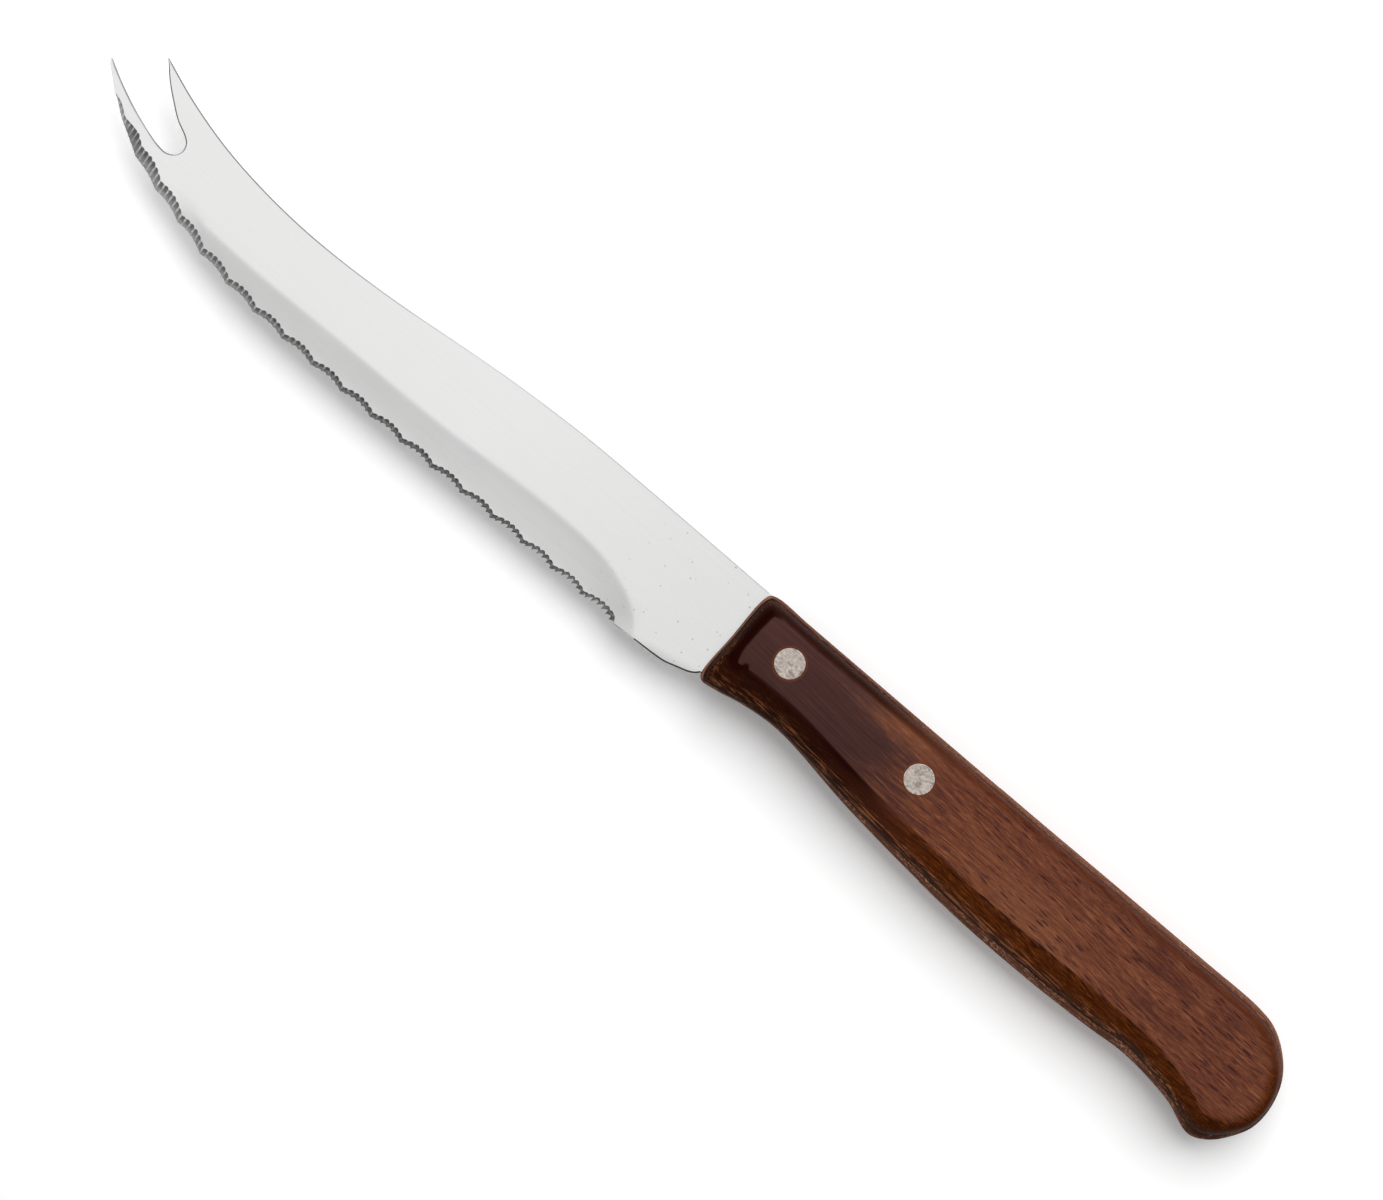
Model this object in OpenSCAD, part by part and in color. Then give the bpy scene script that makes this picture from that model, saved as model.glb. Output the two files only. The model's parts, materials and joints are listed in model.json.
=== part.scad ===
// Cheese knife: a forked, serrated blade whose half tang is riveted into a one-piece wooden handle.
// The knife lies on its side: +X runs to the butt, +Y to the spine and +Z out of the serrated face.
// The origin is under the middle of the whole knife, on the surface that it lies on.

/* [Blade] */
// Length of the blade, from the handle to the tip of the longer prong
blade_length = 130; // [110:1:150]
// Height of the blade at its heel, from the edge to the spine
blade_height = 19.2; // [16:0.1:22]
// Thickness of the steel
blade_thickness = 1.4; // [1.2:0.1:2]

/* [Hollow grind] */
// Thickness that the hollow grind leaves at the edge
grind_thickness = 0.65; // [0.5:0.05:0.9]
// Distance from the shoulder line to the deepest line of the grind
grind_width = 7.3; // [5:0.1:9]

/* [Serration] */
// Distance along the edge from the point of one scallop to the next
scallop_pitch = 6.04; // [4.5:0.01:8]
// Depth of a scallop
scallop_depth = 0.5; // [0.3:0.05:0.8]
// Distance from the heel end of the serration to the first point
scallop_start = 0.7; // [0.3:0.1:2]
// Number of flutes in each scallop
flutes_per_scallop = 6; // [4:1:8]
// Depth of the notch that a flute leaves in the edge
flute_notch = 0.16; // [0.1:0.01:0.25]
// Angle between the flutes and the blade's face, in degrees
serration_angle = 33; // [25:1:45]

/* [Tang] */
// Length of the tang inside the handle
tang_length = 46; // [42:1:60]
// Distance from the surface of the wood to the tang's edges
tang_inset = 0.3; // [0.1:0.1:1]

/* [Handle] */
// Length of the handle
handle_length = 110; // [95:1:125]
// Width of the handle at its belly
handle_width = 19.8; // [18:0.1:24]
// Thickness of the handle, between its flat faces
handle_thickness = 13; // [11:0.5:16]
// Height from the middle of the handle to the crease round each shoulder
crease_height = 3.4; // [2:0.1:4.5]
// Radius of the disc saw that cuts the slot for the tang
saw_radius = 60; // [40:1:90]
// Gap between the tang and each side of its slot
slot_clearance = 0.05; // [0.02:0.01:0.2]
// Gap between the end of the tang and the end of its slot
slot_end_clearance = 0.4; // [0.2:0.1:2]

/* [Rivets] */
// Diameter of a rivet's heads
rivet_head_d = 4.85; // [4:0.05:6]
// Thickness of a rivet's heads
rivet_head_depth = 2.2; // [1.5:0.1:3]
// Diameter of a rivet's shank
rivet_shank_d = 3.2; // [2.5:0.1:3.8]
// Distance from the front of the handle to the front rivet
rivet_front_x = 9.4; // [8:0.1:14]
// Height of the front rivet above the knife's axis
rivet_front_y = 2.2; // [1:0.1:3]
// Distance from the end of the tang to the rear rivet
rivet_rear_inset = 10.2; // [6:0.1:14]
// Height of the rear rivet above the knife's axis
rivet_rear_y = 1.6; // [0:0.1:3]
// Gap round a rivet in the wood
bore_clearance = 0.05; // [0.02:0.01:0.2]
// Gap round a rivet's shank in the tang
tang_hole_clearance = 0.15; // [0.05:0.01:0.4]

/* [Hidden] */
$fn = 72;

// How far a cutting shape runs past what it cuts
overrun = 1;

// Curve steps between two of an outline's points
blade_steps = 6;
handle_steps = 4;
grind_steps = 4;
// Steps of the round shoulder between the crease and the flat face
shoulder_steps = 4;
// Angle of the shoulder's curve at the crease, in degrees
crease_angle = 22;
// How much of the rim the side wall has already used half way up to the crease
wall_bulge_share = 0.3;
// Row places across the grind, as shares of the way from the shoulder line to below the edge
grind_row_shares = [0.06, 0.15, 0.3, 0.5, 0.75, 1];

// The tables below hold points as shares: along the blade from the handle to the tip, and up or down
// from the knife's axis as shares of the blade's height.
// The spine, from the handle to the shorter prong
spine_shares = [
    [0, 0.440], [0.186, 0.446], [0.292, 0.438], [0.387, 0.400], [0.469, 0.344], [0.552, 0.280],
    [0.635, 0.241], [0.705, 0.238], [0.776, 0.275], [0.835, 0.339], [0.894, 0.444], [0.947, 0.572]
];
// The gap between the prongs, from the tip of the shorter one to the tip of the longer one
fork_shares = [
    [0.949, 0.575], [0.930, 0.440], [0.906, 0.308], [0.891, 0.236], [0.875, 0.184], [0.867, 0.140],
    [0.8645, 0.080], [0.868, 0.024], [0.878, -0.014], [0.892, -0.010], [0.912, 0.026],
    [0.942, 0.096], [0.971, 0.182], [0.999, 0.280]
];
// The outer side of the longer prong, from its tip to the serration
prong_shares = [[1, 0.272], [0.998, 0.252], [0.986, 0.188], [0.971, 0.088]];
// The line through the points of the serration, from the heel to the longer prong
edge_shares = [
    [0.116, -0.560], [0.265, -0.557], [0.469, -0.570], [0.587, -0.560], [0.681, -0.536],
    [0.728, -0.504], [0.773, -0.456], [0.815, -0.384], [0.859, -0.304], [0.9025, -0.204],
    [0.946, -0.036], [0.971, 0.088]
];
// The blunt heel, from the handle to the serration
heel_shares = [
    [0, -0.400], [0.004, -0.430], [0.011, -0.460], [0.027, -0.496], [0.042, -0.526], [0.056, -0.536],
    [0.086, -0.546], [0.116, -0.560]
];
// The shoulder line of the hollow grind, from below the heel to past the tip
shoulder_line_shares = [
    [0.080, -0.620], [0.087, -0.536], [0.096, -0.448], [0.109, -0.368], [0.127, -0.296],
    [0.151, -0.236], [0.186, -0.184], [0.233, -0.168], [0.292, -0.176], [0.351, -0.200],
    [0.410, -0.228], [0.469, -0.240], [0.587, -0.248], [0.705, -0.264], [0.824, -0.244],
    [0.918, -0.232]
];
// The lowest row of the grind, under the edge
grind_low_share = -0.66;

// The handle's outline, along its length and up or down as shares of its width, with the matching
// point of the flat face and the share of the way between the two at which the crease lies.
// The ring starts in the middle of the front, runs along the spine side to the middle of the butt and
// comes back along the belly, with as many points on the one side as on the other.
handle_shares = [
    [0.000, -0.020, 0.0228, 0.080, 0.29], [0.000, 0.341, 0.0246, 0.262, 0.29],
    [0.004, 0.415, 0.0260, 0.310, 0.36], [0.015, 0.443, 0.0310, 0.326, 0.46],
    [0.070, 0.442, 0.0760, 0.326, 0.46], [0.136, 0.441, 0.1360, 0.327, 0.46],
    [0.283, 0.440, 0.2830, 0.328, 0.46], [0.400, 0.440, 0.4000, 0.328, 0.48],
    [0.500, 0.441, 0.5000, 0.328, 0.50], [0.618, 0.446, 0.6180, 0.328, 0.52],
    [0.730, 0.448, 0.7300, 0.327, 0.53], [0.800, 0.449, 0.7970, 0.326, 0.53],
    [0.897, 0.447, 0.8850, 0.324, 0.50], [0.932, 0.405, 0.9150, 0.296, 0.46],
    [0.967, 0.271, 0.9490, 0.202, 0.44], [0.988, 0.116, 0.9690, 0.074, 0.43],
    [0.999, -0.101, 0.9800, -0.093, 0.43], [0.997, -0.295, 0.9770, -0.271, 0.42],
    [0.982, -0.457, 0.9630, -0.385, 0.42], [0.961, -0.591, 0.9410, -0.444, 0.40],
    [0.935, -0.654, 0.9230, -0.458, 0.38], [0.880, -0.558, 0.8780, -0.366, 0.22],
    [0.795, -0.504, 0.7950, -0.286, 0.40], [0.730, -0.529, 0.7300, -0.283, 0.34],
    [0.618, -0.553, 0.6180, -0.295, 0.34], [0.478, -0.543, 0.4780, -0.291, 0.35],
    [0.283, -0.453, 0.2830, -0.213, 0.27], [0.136, -0.340, 0.1360, -0.122, 0.09],
    [0.073, -0.368, 0.0760, -0.120, 0.09], [0.031, -0.419, 0.0420, -0.134, 0.10],
    [0.008, -0.432, 0.0290, -0.146, 0.14], [0.001, -0.395, 0.0250, -0.092, 0.22]
];
// Where the tang's edges begin inside the handle, as a share of the handle's length
tang_front_share = 0.02;
// How far the serration's cut runs on past each end of the steel that it removes
serration_run_out = 0.4;

// Smooth curves. A point is a list of any length, and its first two numbers are its place.
function between(a, b, t) = a + (b - a) * t;
function place(p) = [p[0], p[1]];
function knot_gap(a, b) = sqrt(norm(place(b) - place(a)));
function slope_at(before, here, after, gap_in, gap_out) =
    (here - before) / gap_in - (after - before) / (gap_in + gap_out) + (after - here) / gap_out;
function curve_point(a, b, c, d, t) =
    let (
        in_gap = knot_gap(a, b),
        gap = knot_gap(b, c),
        out_gap = knot_gap(c, d),
        start_slope = slope_at(a, b, c, in_gap, gap) * gap,
        end_slope = slope_at(b, c, d, gap, out_gap) * gap
    )
    (2 * t ^ 3 - 3 * t ^ 2 + 1) * b + (t ^ 3 - 2 * t ^ 2 + t) * start_slope
        + (3 * t ^ 2 - 2 * t ^ 3) * c + (t ^ 3 - t ^ 2) * end_slope;
// The curve through all the points of a ring
function ring_curve(points, steps) =
    let (n = len(points))
    [
        for (i = [0 : n - 1], k = [0 : steps - 1])
            curve_point(points[(i + n - 1) % n], points[i], points[(i + 1) % n], points[(i + 2) % n], k / steps)
    ];
// The curve through all the points of an open line, which runs straight on at both ends
function open_curve(points, steps) =
    let (
        n = len(points),
        first = 2 * points[0] - points[1],
        last = 2 * points[n - 1] - points[n - 2],
        long = concat([first], points, [last])
    )
    concat(
        [
            for (i = [1 : n - 1], k = [0 : steps - 1])
                curve_point(long[i - 1], long[i], long[i + 1], long[i + 2], k / steps)
        ],
        [points[n - 1]]
    );

// A flat face inside a ring of points, as a strip between the two halves that meet at point 0
function strip_face(n) =
    [
        for (i = [0 : ceil(n / 2) - 1])
            each concat(
                i > 0 && i + 1 < n - i ? [[i, n - i, i + 1]] : [],
                i + 1 < n - i - 1 ? [[i + 1, (n - i) % n, n - i - 1]] : []
            )
    ];

// A closed solid through equal rings of points
module loft(rings) {
    n = len(rings[0]);
    m = len(rings);
    sides = [
        for (r = [0 : m - 2], i = [0 : n - 1])
            each [
                [r * n + i, r * n + (i + 1) % n, (r + 1) * n + (i + 1) % n],
                [r * n + i, (r + 1) * n + (i + 1) % n, (r + 1) * n + i]
            ]
    ];
    first_cap = strip_face(n);
    last_cap = [for (t = strip_face(n)) [for (i = [2 : -1 : 0]) (m - 1) * n + t[i]]];
    polyhedron(points = [for (ring = rings) each ring], faces = concat(first_cap, last_cap, sides));
}

// Blade outline
function on_blade(shares) = [for (s = shares) [-s[0] * blade_length, s[1] * blade_height]];
spine_line = open_curve(on_blade(spine_shares), blade_steps);
fork_line = open_curve(on_blade(fork_shares), blade_steps);
prong_line = open_curve(on_blade(prong_shares), blade_steps);
heel_line = open_curve(on_blade(heel_shares), blade_steps);
edge_line = open_curve(on_blade(edge_shares), blade_steps);
shoulder_line = open_curve(on_blade(shoulder_line_shares), grind_steps);

// Distance along the edge line, for each of its points
edge_distances = [
    for (i = 0, s = 0; i < len(edge_line);
        i = i + 1, s = s + (i < len(edge_line) ? norm(edge_line[i] - edge_line[i - 1]) : 0)) s
];
edge_length = edge_distances[len(edge_line) - 1];
edge_x_table = [for (i = [0 : len(edge_line) - 1]) [edge_distances[i], edge_line[i].x]];
edge_y_table = [for (i = [0 : len(edge_line) - 1]) [edge_distances[i], edge_line[i].y]];
function edge_place(s) = [lookup(s, edge_x_table), lookup(s, edge_y_table)];
// The direction from the edge into the blade
function edge_inward(s) =
    let (
        reach = flute_pitch,
        along = edge_place(min(s + reach, edge_length)) - edge_place(max(s - reach, 0))
    )
    [along.y, -along.x] / norm(along);

// The flutes fill the whole edge, so their pitch is the wanted one made to fit
flutes = round(edge_length * flutes_per_scallop / scallop_pitch);
flute_pitch = edge_length / flutes;
scallops = floor((edge_length - scallop_start) / scallop_pitch);
function scallop_at(s) =
    let (
        turns = (s - scallop_start) / scallop_pitch,
        across = 2 * (turns - floor(turns)) - 1
    )
    turns < 0 || turns >= scallops ? 0 : scallop_depth * (1 - across ^ 2);
// The steel before the serration is cut: it stands proud of the edge line, but not at the ends
blank_edge = concat(
    [edge_place(serration_run_out)],
    [
        for (s = edge_distances)
            if (s > serration_run_out && s < edge_length - serration_run_out)
                edge_place(s) - edge_inward(s) * overrun
    ],
    [edge_place(edge_length - serration_run_out)]
);

// Handle outline, with the flat face's place and the crease's share carried along
handle_ring = ring_curve(
    [
        for (s = handle_shares)
            [
                s[0] * handle_length, s[1] * handle_width,
                s[2] * handle_length, s[3] * handle_width, s[4]
            ]
    ],
    handle_steps
);

// The tang follows the handle's outline, a little inside it
tang_front = tang_front_share * handle_length;
tang_top = [
    for (p = handle_ring)
        if (p[1] > 0 && p[0] > tang_front && p[0] < tang_length) [p[0], p[1] - tang_inset]
];
tang_bottom = [
    for (p = handle_ring)
        if (p[1] < 0 && p[0] > tang_front && p[0] < tang_length) [p[0], p[1] + tang_inset]
];
tang_end_top = [tang_length, tang_top[len(tang_top) - 1].y];
tang_end_bottom = [tang_length, tang_bottom[0].y];
function reversed(list) = [for (i = [len(list) - 1 : -1 : 0]) list[i]];
blade_outline = concat(
    heel_line,
    blank_edge,
    reversed(prong_line),
    reversed(fork_line),
    reversed(spine_line),
    tang_top,
    [tang_end_top, tang_end_bottom],
    tang_bottom
);

// Place of the knife: its middle is over the origin
outline_xs = [for (p = concat(blade_outline, handle_ring)) p[0]];
outline_ys = [for (p = concat(blade_outline, handle_ring)) p[1]];
knife_middle = [(min(outline_xs) + max(outline_xs)) / 2, (min(outline_ys) + max(outline_ys)) / 2];
middle_height = handle_thickness / 2;
rivet_places = [[rivet_front_x, rivet_front_y], [tang_length - rivet_rear_inset, rivet_rear_y]];

module in_place() {
    translate([-knife_middle.x, -knife_middle.y, middle_height]) children();
}

// Hollow grind
grind_depth = (blade_thickness - grind_thickness) / 2;
function distance_to_shoulder(p) = min([for (q = shoulder_line) norm(p - q)]);
function grind_at(distance) = grind_depth * (1 - (1 - min(distance / grind_width, 1)) ^ 2);
// Half of the blade's thickness at a place on the edge
function half_thickness_at(p) =
    let (level = lookup(-p.x, [for (q = shoulder_line) [-q.x, q.y]]))
    blade_thickness / 2 - (p.y < level ? grind_at(distance_to_shoulder(p)) : 0);

// The section of the grinding cut under one point of the shoulder line, as a ring of points
function grind_section(top) =
    let (
        low = grind_low_share * blade_height,
        face = blade_thickness / 2,
        rise = 2 * grind_depth / grind_width * overrun
    )
    concat(
        [[top.x, top.y + overrun, face + overrun + rise], [top.x, top.y + overrun, face + rise]],
        [
            for (share = grind_row_shares)
                let (y = between(top.y, low, share))
                [top.x, y, face - grind_at(distance_to_shoulder([top.x, y]))]
        ],
        [[top.x, low, face + overrun + rise]]
    );
module grind_cut() {
    loft([for (p = reversed(shoulder_line)) grind_section(p)]);
}

// The section of the fluted cut at one crest or valley. It leaves a sharp edge on the other face.
function flute_section(i) =
    let (
        s = i * flute_pitch / 2,
        inset = scallop_at(s) + (i % 2 == 1 ? flute_notch : 0),
        reach = 2 * overrun,
        other_face = -half_thickness_at(edge_place(s)),
        top = blade_thickness / 2 + overrun,
        outside = edge_place(s) - edge_inward(s) * reach,
        inside = edge_place(s) + edge_inward(s) * (inset + (top - other_face) / tan(serration_angle))
    )
    [
        [outside.x, outside.y, other_face - (reach + inset) * tan(serration_angle)],
        [inside.x, inside.y, top],
        [outside.x, outside.y, top]
    ];
module flute_cut() {
    loft([for (i = [0 : 2 * flutes]) flute_section(i)]);
}

module blade() {
    color("gainsboro")
        in_place()
            difference() {
                linear_extrude(blade_thickness, center = true) polygon(blade_outline);
                grind_cut();
                mirror([0, 0, 1]) grind_cut();
                flute_cut();
                for (p = rivet_places)
                    translate(p)
                        cylinder(
                            h = blade_thickness + 2 * overrun,
                            d = rivet_shank_d + 2 * tang_hole_clearance,
                            center = true
                        );
            }
}

// Handle
function ring_at(height, crease_to_flat) =
    [
        for (p = handle_ring)
            let (
                outline = [p[0], p[1]],
                flat = [p[2], p[3]],
                crease = between(outline, flat, p[4]),
                spot = between(crease, flat, crease_to_flat)
            )
            [spot.x, spot.y, height]
    ];
function wall_ring(height, share) =
    [
        for (p = handle_ring)
            let (spot = between([p[0], p[1]], [p[2], p[3]], p[4] * share))
            [spot.x, spot.y, height]
    ];
// The round shoulder from the crease, step 0, up to the flat face, the last step
function shoulder_ring(step) =
    let (
        angle = between(crease_angle, 90, step / shoulder_steps),
        rise = (sin(angle) - sin(crease_angle)) / (1 - sin(crease_angle)),
        run = 1 - cos(angle) / cos(crease_angle)
    )
    ring_at(between(crease_height, middle_height, rise), run);
upper_rings = concat(
    [wall_ring(0, 0), wall_ring(crease_height / 2, wall_bulge_share)],
    [for (step = [0 : shoulder_steps]) shoulder_ring(step)]
);
function turned_down(ring) = [for (p = ring) [p.x, p.y, -p.z]];
handle_rings = concat(
    [for (i = [len(upper_rings) - 1 : -1 : 1]) turned_down(upper_rings[i])],
    upper_rings
);

saw_sagitta = saw_radius - sqrt(saw_radius ^ 2 - (handle_width / 2) ^ 2);
slot_depth = tang_length + slot_end_clearance + saw_sagitta;
module tang_slot() {
    translate([slot_depth - saw_radius, 0, 0])
        cylinder(h = blade_thickness + 2 * slot_clearance, r = saw_radius, center = true);
}

// A rivet, or with a gap and some extra length the hole that takes it
module rivet_shape(gap, extra) {
    head_h = rivet_head_depth + extra;
    cylinder(h = handle_thickness, d = rivet_shank_d + 2 * gap, center = true);
    for (side = [-1, 1])
        translate([0, 0, side * (handle_thickness / 2 + extra - head_h / 2)])
            cylinder(h = head_h, d = rivet_head_d + 2 * gap, center = true);
}

module handle() {
    color("saddlebrown")
        in_place()
            difference() {
                loft(handle_rings);
                tang_slot();
                for (p = rivet_places)
                    translate(p) rivet_shape(bore_clearance, overrun);
            }
}

module rivet(place) {
    color("silver")
        in_place()
            translate(place) rivet_shape(0, 0);
}

module rivet_front() {
    rivet(rivet_places[0]);
}

module rivet_rear() {
    rivet(rivet_places[1]);
}

blade();
handle();
rivet_front();
rivet_rear();
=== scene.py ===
"""Cheese knife: a forked, fluted blade riveted into a one-piece handle of laminated wood.

Laid out as a Blender add-on and run as a script. Sizes and colours are properties of the scene,
each piece has its own operator, and the panel in the 3D view's sidebar lists them.
"""

import json
import math

import bmesh
import bpy
import numpy as np
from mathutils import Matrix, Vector
from mathutils.geometry import delaunay_2d_cdt

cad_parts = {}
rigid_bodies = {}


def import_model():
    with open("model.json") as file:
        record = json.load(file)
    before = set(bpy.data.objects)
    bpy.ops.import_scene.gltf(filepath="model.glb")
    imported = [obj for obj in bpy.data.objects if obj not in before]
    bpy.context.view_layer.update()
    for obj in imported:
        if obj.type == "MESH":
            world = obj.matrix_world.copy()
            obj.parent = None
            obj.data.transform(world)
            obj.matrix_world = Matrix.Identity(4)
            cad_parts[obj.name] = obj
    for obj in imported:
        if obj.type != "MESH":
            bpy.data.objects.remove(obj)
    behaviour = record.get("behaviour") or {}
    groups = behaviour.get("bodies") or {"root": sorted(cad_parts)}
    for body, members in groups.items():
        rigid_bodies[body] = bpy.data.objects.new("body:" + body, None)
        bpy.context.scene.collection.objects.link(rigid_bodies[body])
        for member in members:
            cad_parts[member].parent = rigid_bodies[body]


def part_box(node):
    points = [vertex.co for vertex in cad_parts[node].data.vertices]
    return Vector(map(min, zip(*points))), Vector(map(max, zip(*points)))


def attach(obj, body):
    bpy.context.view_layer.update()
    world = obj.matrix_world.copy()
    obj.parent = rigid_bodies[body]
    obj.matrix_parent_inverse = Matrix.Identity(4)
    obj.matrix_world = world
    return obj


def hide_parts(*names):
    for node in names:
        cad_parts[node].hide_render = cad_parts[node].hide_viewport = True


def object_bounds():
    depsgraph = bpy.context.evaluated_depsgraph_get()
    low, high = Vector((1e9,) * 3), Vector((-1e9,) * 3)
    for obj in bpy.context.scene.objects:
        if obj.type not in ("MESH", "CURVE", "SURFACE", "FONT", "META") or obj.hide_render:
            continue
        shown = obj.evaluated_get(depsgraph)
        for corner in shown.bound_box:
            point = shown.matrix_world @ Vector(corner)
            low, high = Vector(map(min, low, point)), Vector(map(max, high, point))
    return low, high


bl_info = {
    "name": "Cheese Knife",
    "version": (1, 0, 0),
    "blender": (4, 5, 0),
    "location": "View3D > Sidebar > Knife",
    "description": "Builds a cheese knife with a fluted blade and a riveted wooden handle",
    "category": "Object",
}

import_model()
CAD_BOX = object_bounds()

MM = 0.001
MERGE = 0.0004 * MM  # points that are closer are one
FAR = 99.0  # millimetres, past any width in the knife
SEGMENTS = 64  # round a rivet and its bore
HOLE_SEGMENTS = 40  # round a hole in the tang
COARSE, FINE = 4, 8  # steps between two points of the handle's table
INNER = -6.0  # what the attribute "rim" says deep inside the flat face and in the bores
WHITE = (1, 1, 1, 1)
LAMP_SIZE, LAMP_PLACE = (0.9, 0.7), (0.03, 0.44, 0.76)  # metres

# Tables of the outlines, as shares of the blade's length and height. They run along the blade from
# the handle to the tip, and up or down from the knife's axis.
SPINE = [
    (0, 0.440), (0.186, 0.446), (0.292, 0.438), (0.387, 0.400), (0.469, 0.344), (0.552, 0.280),
    (0.635, 0.241), (0.705, 0.238), (0.776, 0.275), (0.835, 0.339), (0.894, 0.444), (0.947, 0.572),
]
FORK = [
    (0.949, 0.575), (0.930, 0.440), (0.906, 0.308), (0.891, 0.236), (0.875, 0.184), (0.867, 0.140),
    (0.8645, 0.080), (0.868, 0.024), (0.878, -0.014), (0.892, -0.010), (0.912, 0.026),
    (0.942, 0.096), (0.971, 0.182), (0.999, 0.280),
]
PRONG = [(1, 0.272), (0.9975, 0.243), (0.986, 0.176), (0.971, 0.085)]
EDGE = [
    (0.116, -0.560), (0.265, -0.557), (0.469, -0.570), (0.587, -0.560), (0.681, -0.536),
    (0.728, -0.504), (0.773, -0.456), (0.815, -0.384), (0.859, -0.304), (0.9025, -0.204),
    (0.946, -0.036), (0.971, 0.085),
]
HEEL = [
    (0, -0.400), (0.004, -0.430), (0.011, -0.460), (0.027, -0.496), (0.042, -0.526),
    (0.056, -0.536), (0.086, -0.546), (0.116, -0.560),
]
SHOULDER = [
    (0.080, -0.620), (0.087, -0.536), (0.096, -0.448), (0.109, -0.368), (0.127, -0.296),
    (0.151, -0.236), (0.186, -0.184), (0.233, -0.168), (0.292, -0.176), (0.351, -0.200),
    (0.410, -0.228), (0.469, -0.240), (0.587, -0.248), (0.705, -0.264), (0.824, -0.244),
    (0.918, -0.232),
]
# The handle's outline as shares of its length and width, with the matching point of the flat face
# and the share of the way between the two at which the crease lies.
HANDLE = [
    (0.000, -0.020, 0.0228, 0.080, 0.29), (0.000, 0.341, 0.0246, 0.262, 0.29),
    (0.004, 0.415, 0.0260, 0.310, 0.36), (0.015, 0.443, 0.0310, 0.326, 0.46),
    (0.070, 0.442, 0.0760, 0.326, 0.46), (0.136, 0.441, 0.1360, 0.327, 0.46),
    (0.283, 0.440, 0.2830, 0.328, 0.46), (0.400, 0.440, 0.4000, 0.328, 0.48),
    (0.500, 0.441, 0.5000, 0.328, 0.50), (0.618, 0.446, 0.6180, 0.328, 0.52),
    (0.730, 0.448, 0.7300, 0.327, 0.53), (0.800, 0.449, 0.7970, 0.326, 0.53),
    (0.897, 0.447, 0.8850, 0.324, 0.50), (0.932, 0.405, 0.9150, 0.296, 0.46),
    (0.967, 0.271, 0.9490, 0.202, 0.44), (0.988, 0.116, 0.9690, 0.074, 0.43),
    (0.999, -0.101, 0.9800, -0.093, 0.43), (0.997, -0.295, 0.9770, -0.271, 0.42),
    (0.982, -0.457, 0.9630, -0.385, 0.42), (0.961, -0.591, 0.9410, -0.444, 0.40),
    (0.935, -0.654, 0.9230, -0.458, 0.38), (0.880, -0.558, 0.8780, -0.366, 0.22),
    (0.795, -0.504, 0.7950, -0.286, 0.40), (0.730, -0.529, 0.7300, -0.283, 0.34),
    (0.618, -0.553, 0.6180, -0.295, 0.34), (0.478, -0.543, 0.4780, -0.291, 0.35),
    (0.283, -0.453, 0.2830, -0.213, 0.27), (0.136, -0.340, 0.1360, -0.122, 0.09),
    (0.073, -0.368, 0.0760, -0.120, 0.09), (0.031, -0.419, 0.0420, -0.134, 0.10),
    (0.008, -0.432, 0.0290, -0.146, 0.14), (0.001, -0.395, 0.0250, -0.092, 0.22),
]
# The next tables are read with straight lines between their pairs, which are in millimetres or
# shares. How far the flutes lean towards the handle, against the share of the edge from the heel
LEAN = [(0, 0.22), (0.35, 0.1), (1, 0)]
# How far in the cut reaches and how much of it is left, against the distance from its tip end
TIP_REACH = [
    (0, 0.05), (0.9, 0.45), (2.1, 0.85), (3.2, 0.95), (4.2, 0.8), (5.0, 0.95), (5.5, 1.2),
    (6.6, 1.65), (8.0, 2.1), (9.3, 2.5), (9.6, FAR),
]
TIP_WEAR = [(0, 0.1), (4, 0.15), (8, 0.3), (13, 0.75), (20, 0.9), (24, 1)]
# How much painted shade the broken edge gets, against the share of the way round the fork
# and the place along the spine and the heel
FORK_EDGE_SHADE = [
    (0, 0.7), (0.42, 0.75), (0.55, 0.5), (0.68, 0.45), (0.78, 0.15), (0.86, 0.5), (1, 0.65)
]
SPINE_EDGE_SHADE = [(-90, 0.72), (-60, 0.22), (-30, 0.3), (0, 0.25)]
HEEL_EDGE_SHADE = [(-15.5, 0.6), (-13.5, 0.35), (-11.8, 0.15), (-11.3, 1), (-5, 0.95), (0, 1)]
# The strip's rows along the edge: -1 to 0 on the far face, 0 to 1 across the cut, then up to 2 on
# the near face
CUT_ROWS = 8
LEVELS = [-1, -0.5] + [k / CUT_ROWS for k in range(CUT_ROWS + 1)] + [1.3, 1.65, 2]
FIRST_CUT = LEVELS.index(0)
# The handle's rows between the slot and the flat face: up to 1 on the side wall, then round the
# shoulder to 2
WALL_LEVELS = [0.45, 0.7, 0.88, 1]
SHOULDER_LEVELS = [1.08, 1.18, 1.3, 1.42, 1.55, 1.68, 1.8, 1.9, 2]
# Half of a rivet's profile: share of the head's radius, share of the shank's, depth as a share of
# the head's, share of the dent
RIVET = [
    (0, 0, 0, 1), (0.3, 0, 0, 1), (0.55, 0, 0, 0.9), (0.78, 0, 0, 0.7), (0.9, 0, 0, 0.3),
    (0.965, 0, 0, 0), (0.99, 0, 0.006, 0), (1, 0, 0.02, 0), (1, 0, 0.5, 0), (1, 0, 1, 0),
    (0, 1, 1, 0), (0, 1, 2, 0),
]


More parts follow.
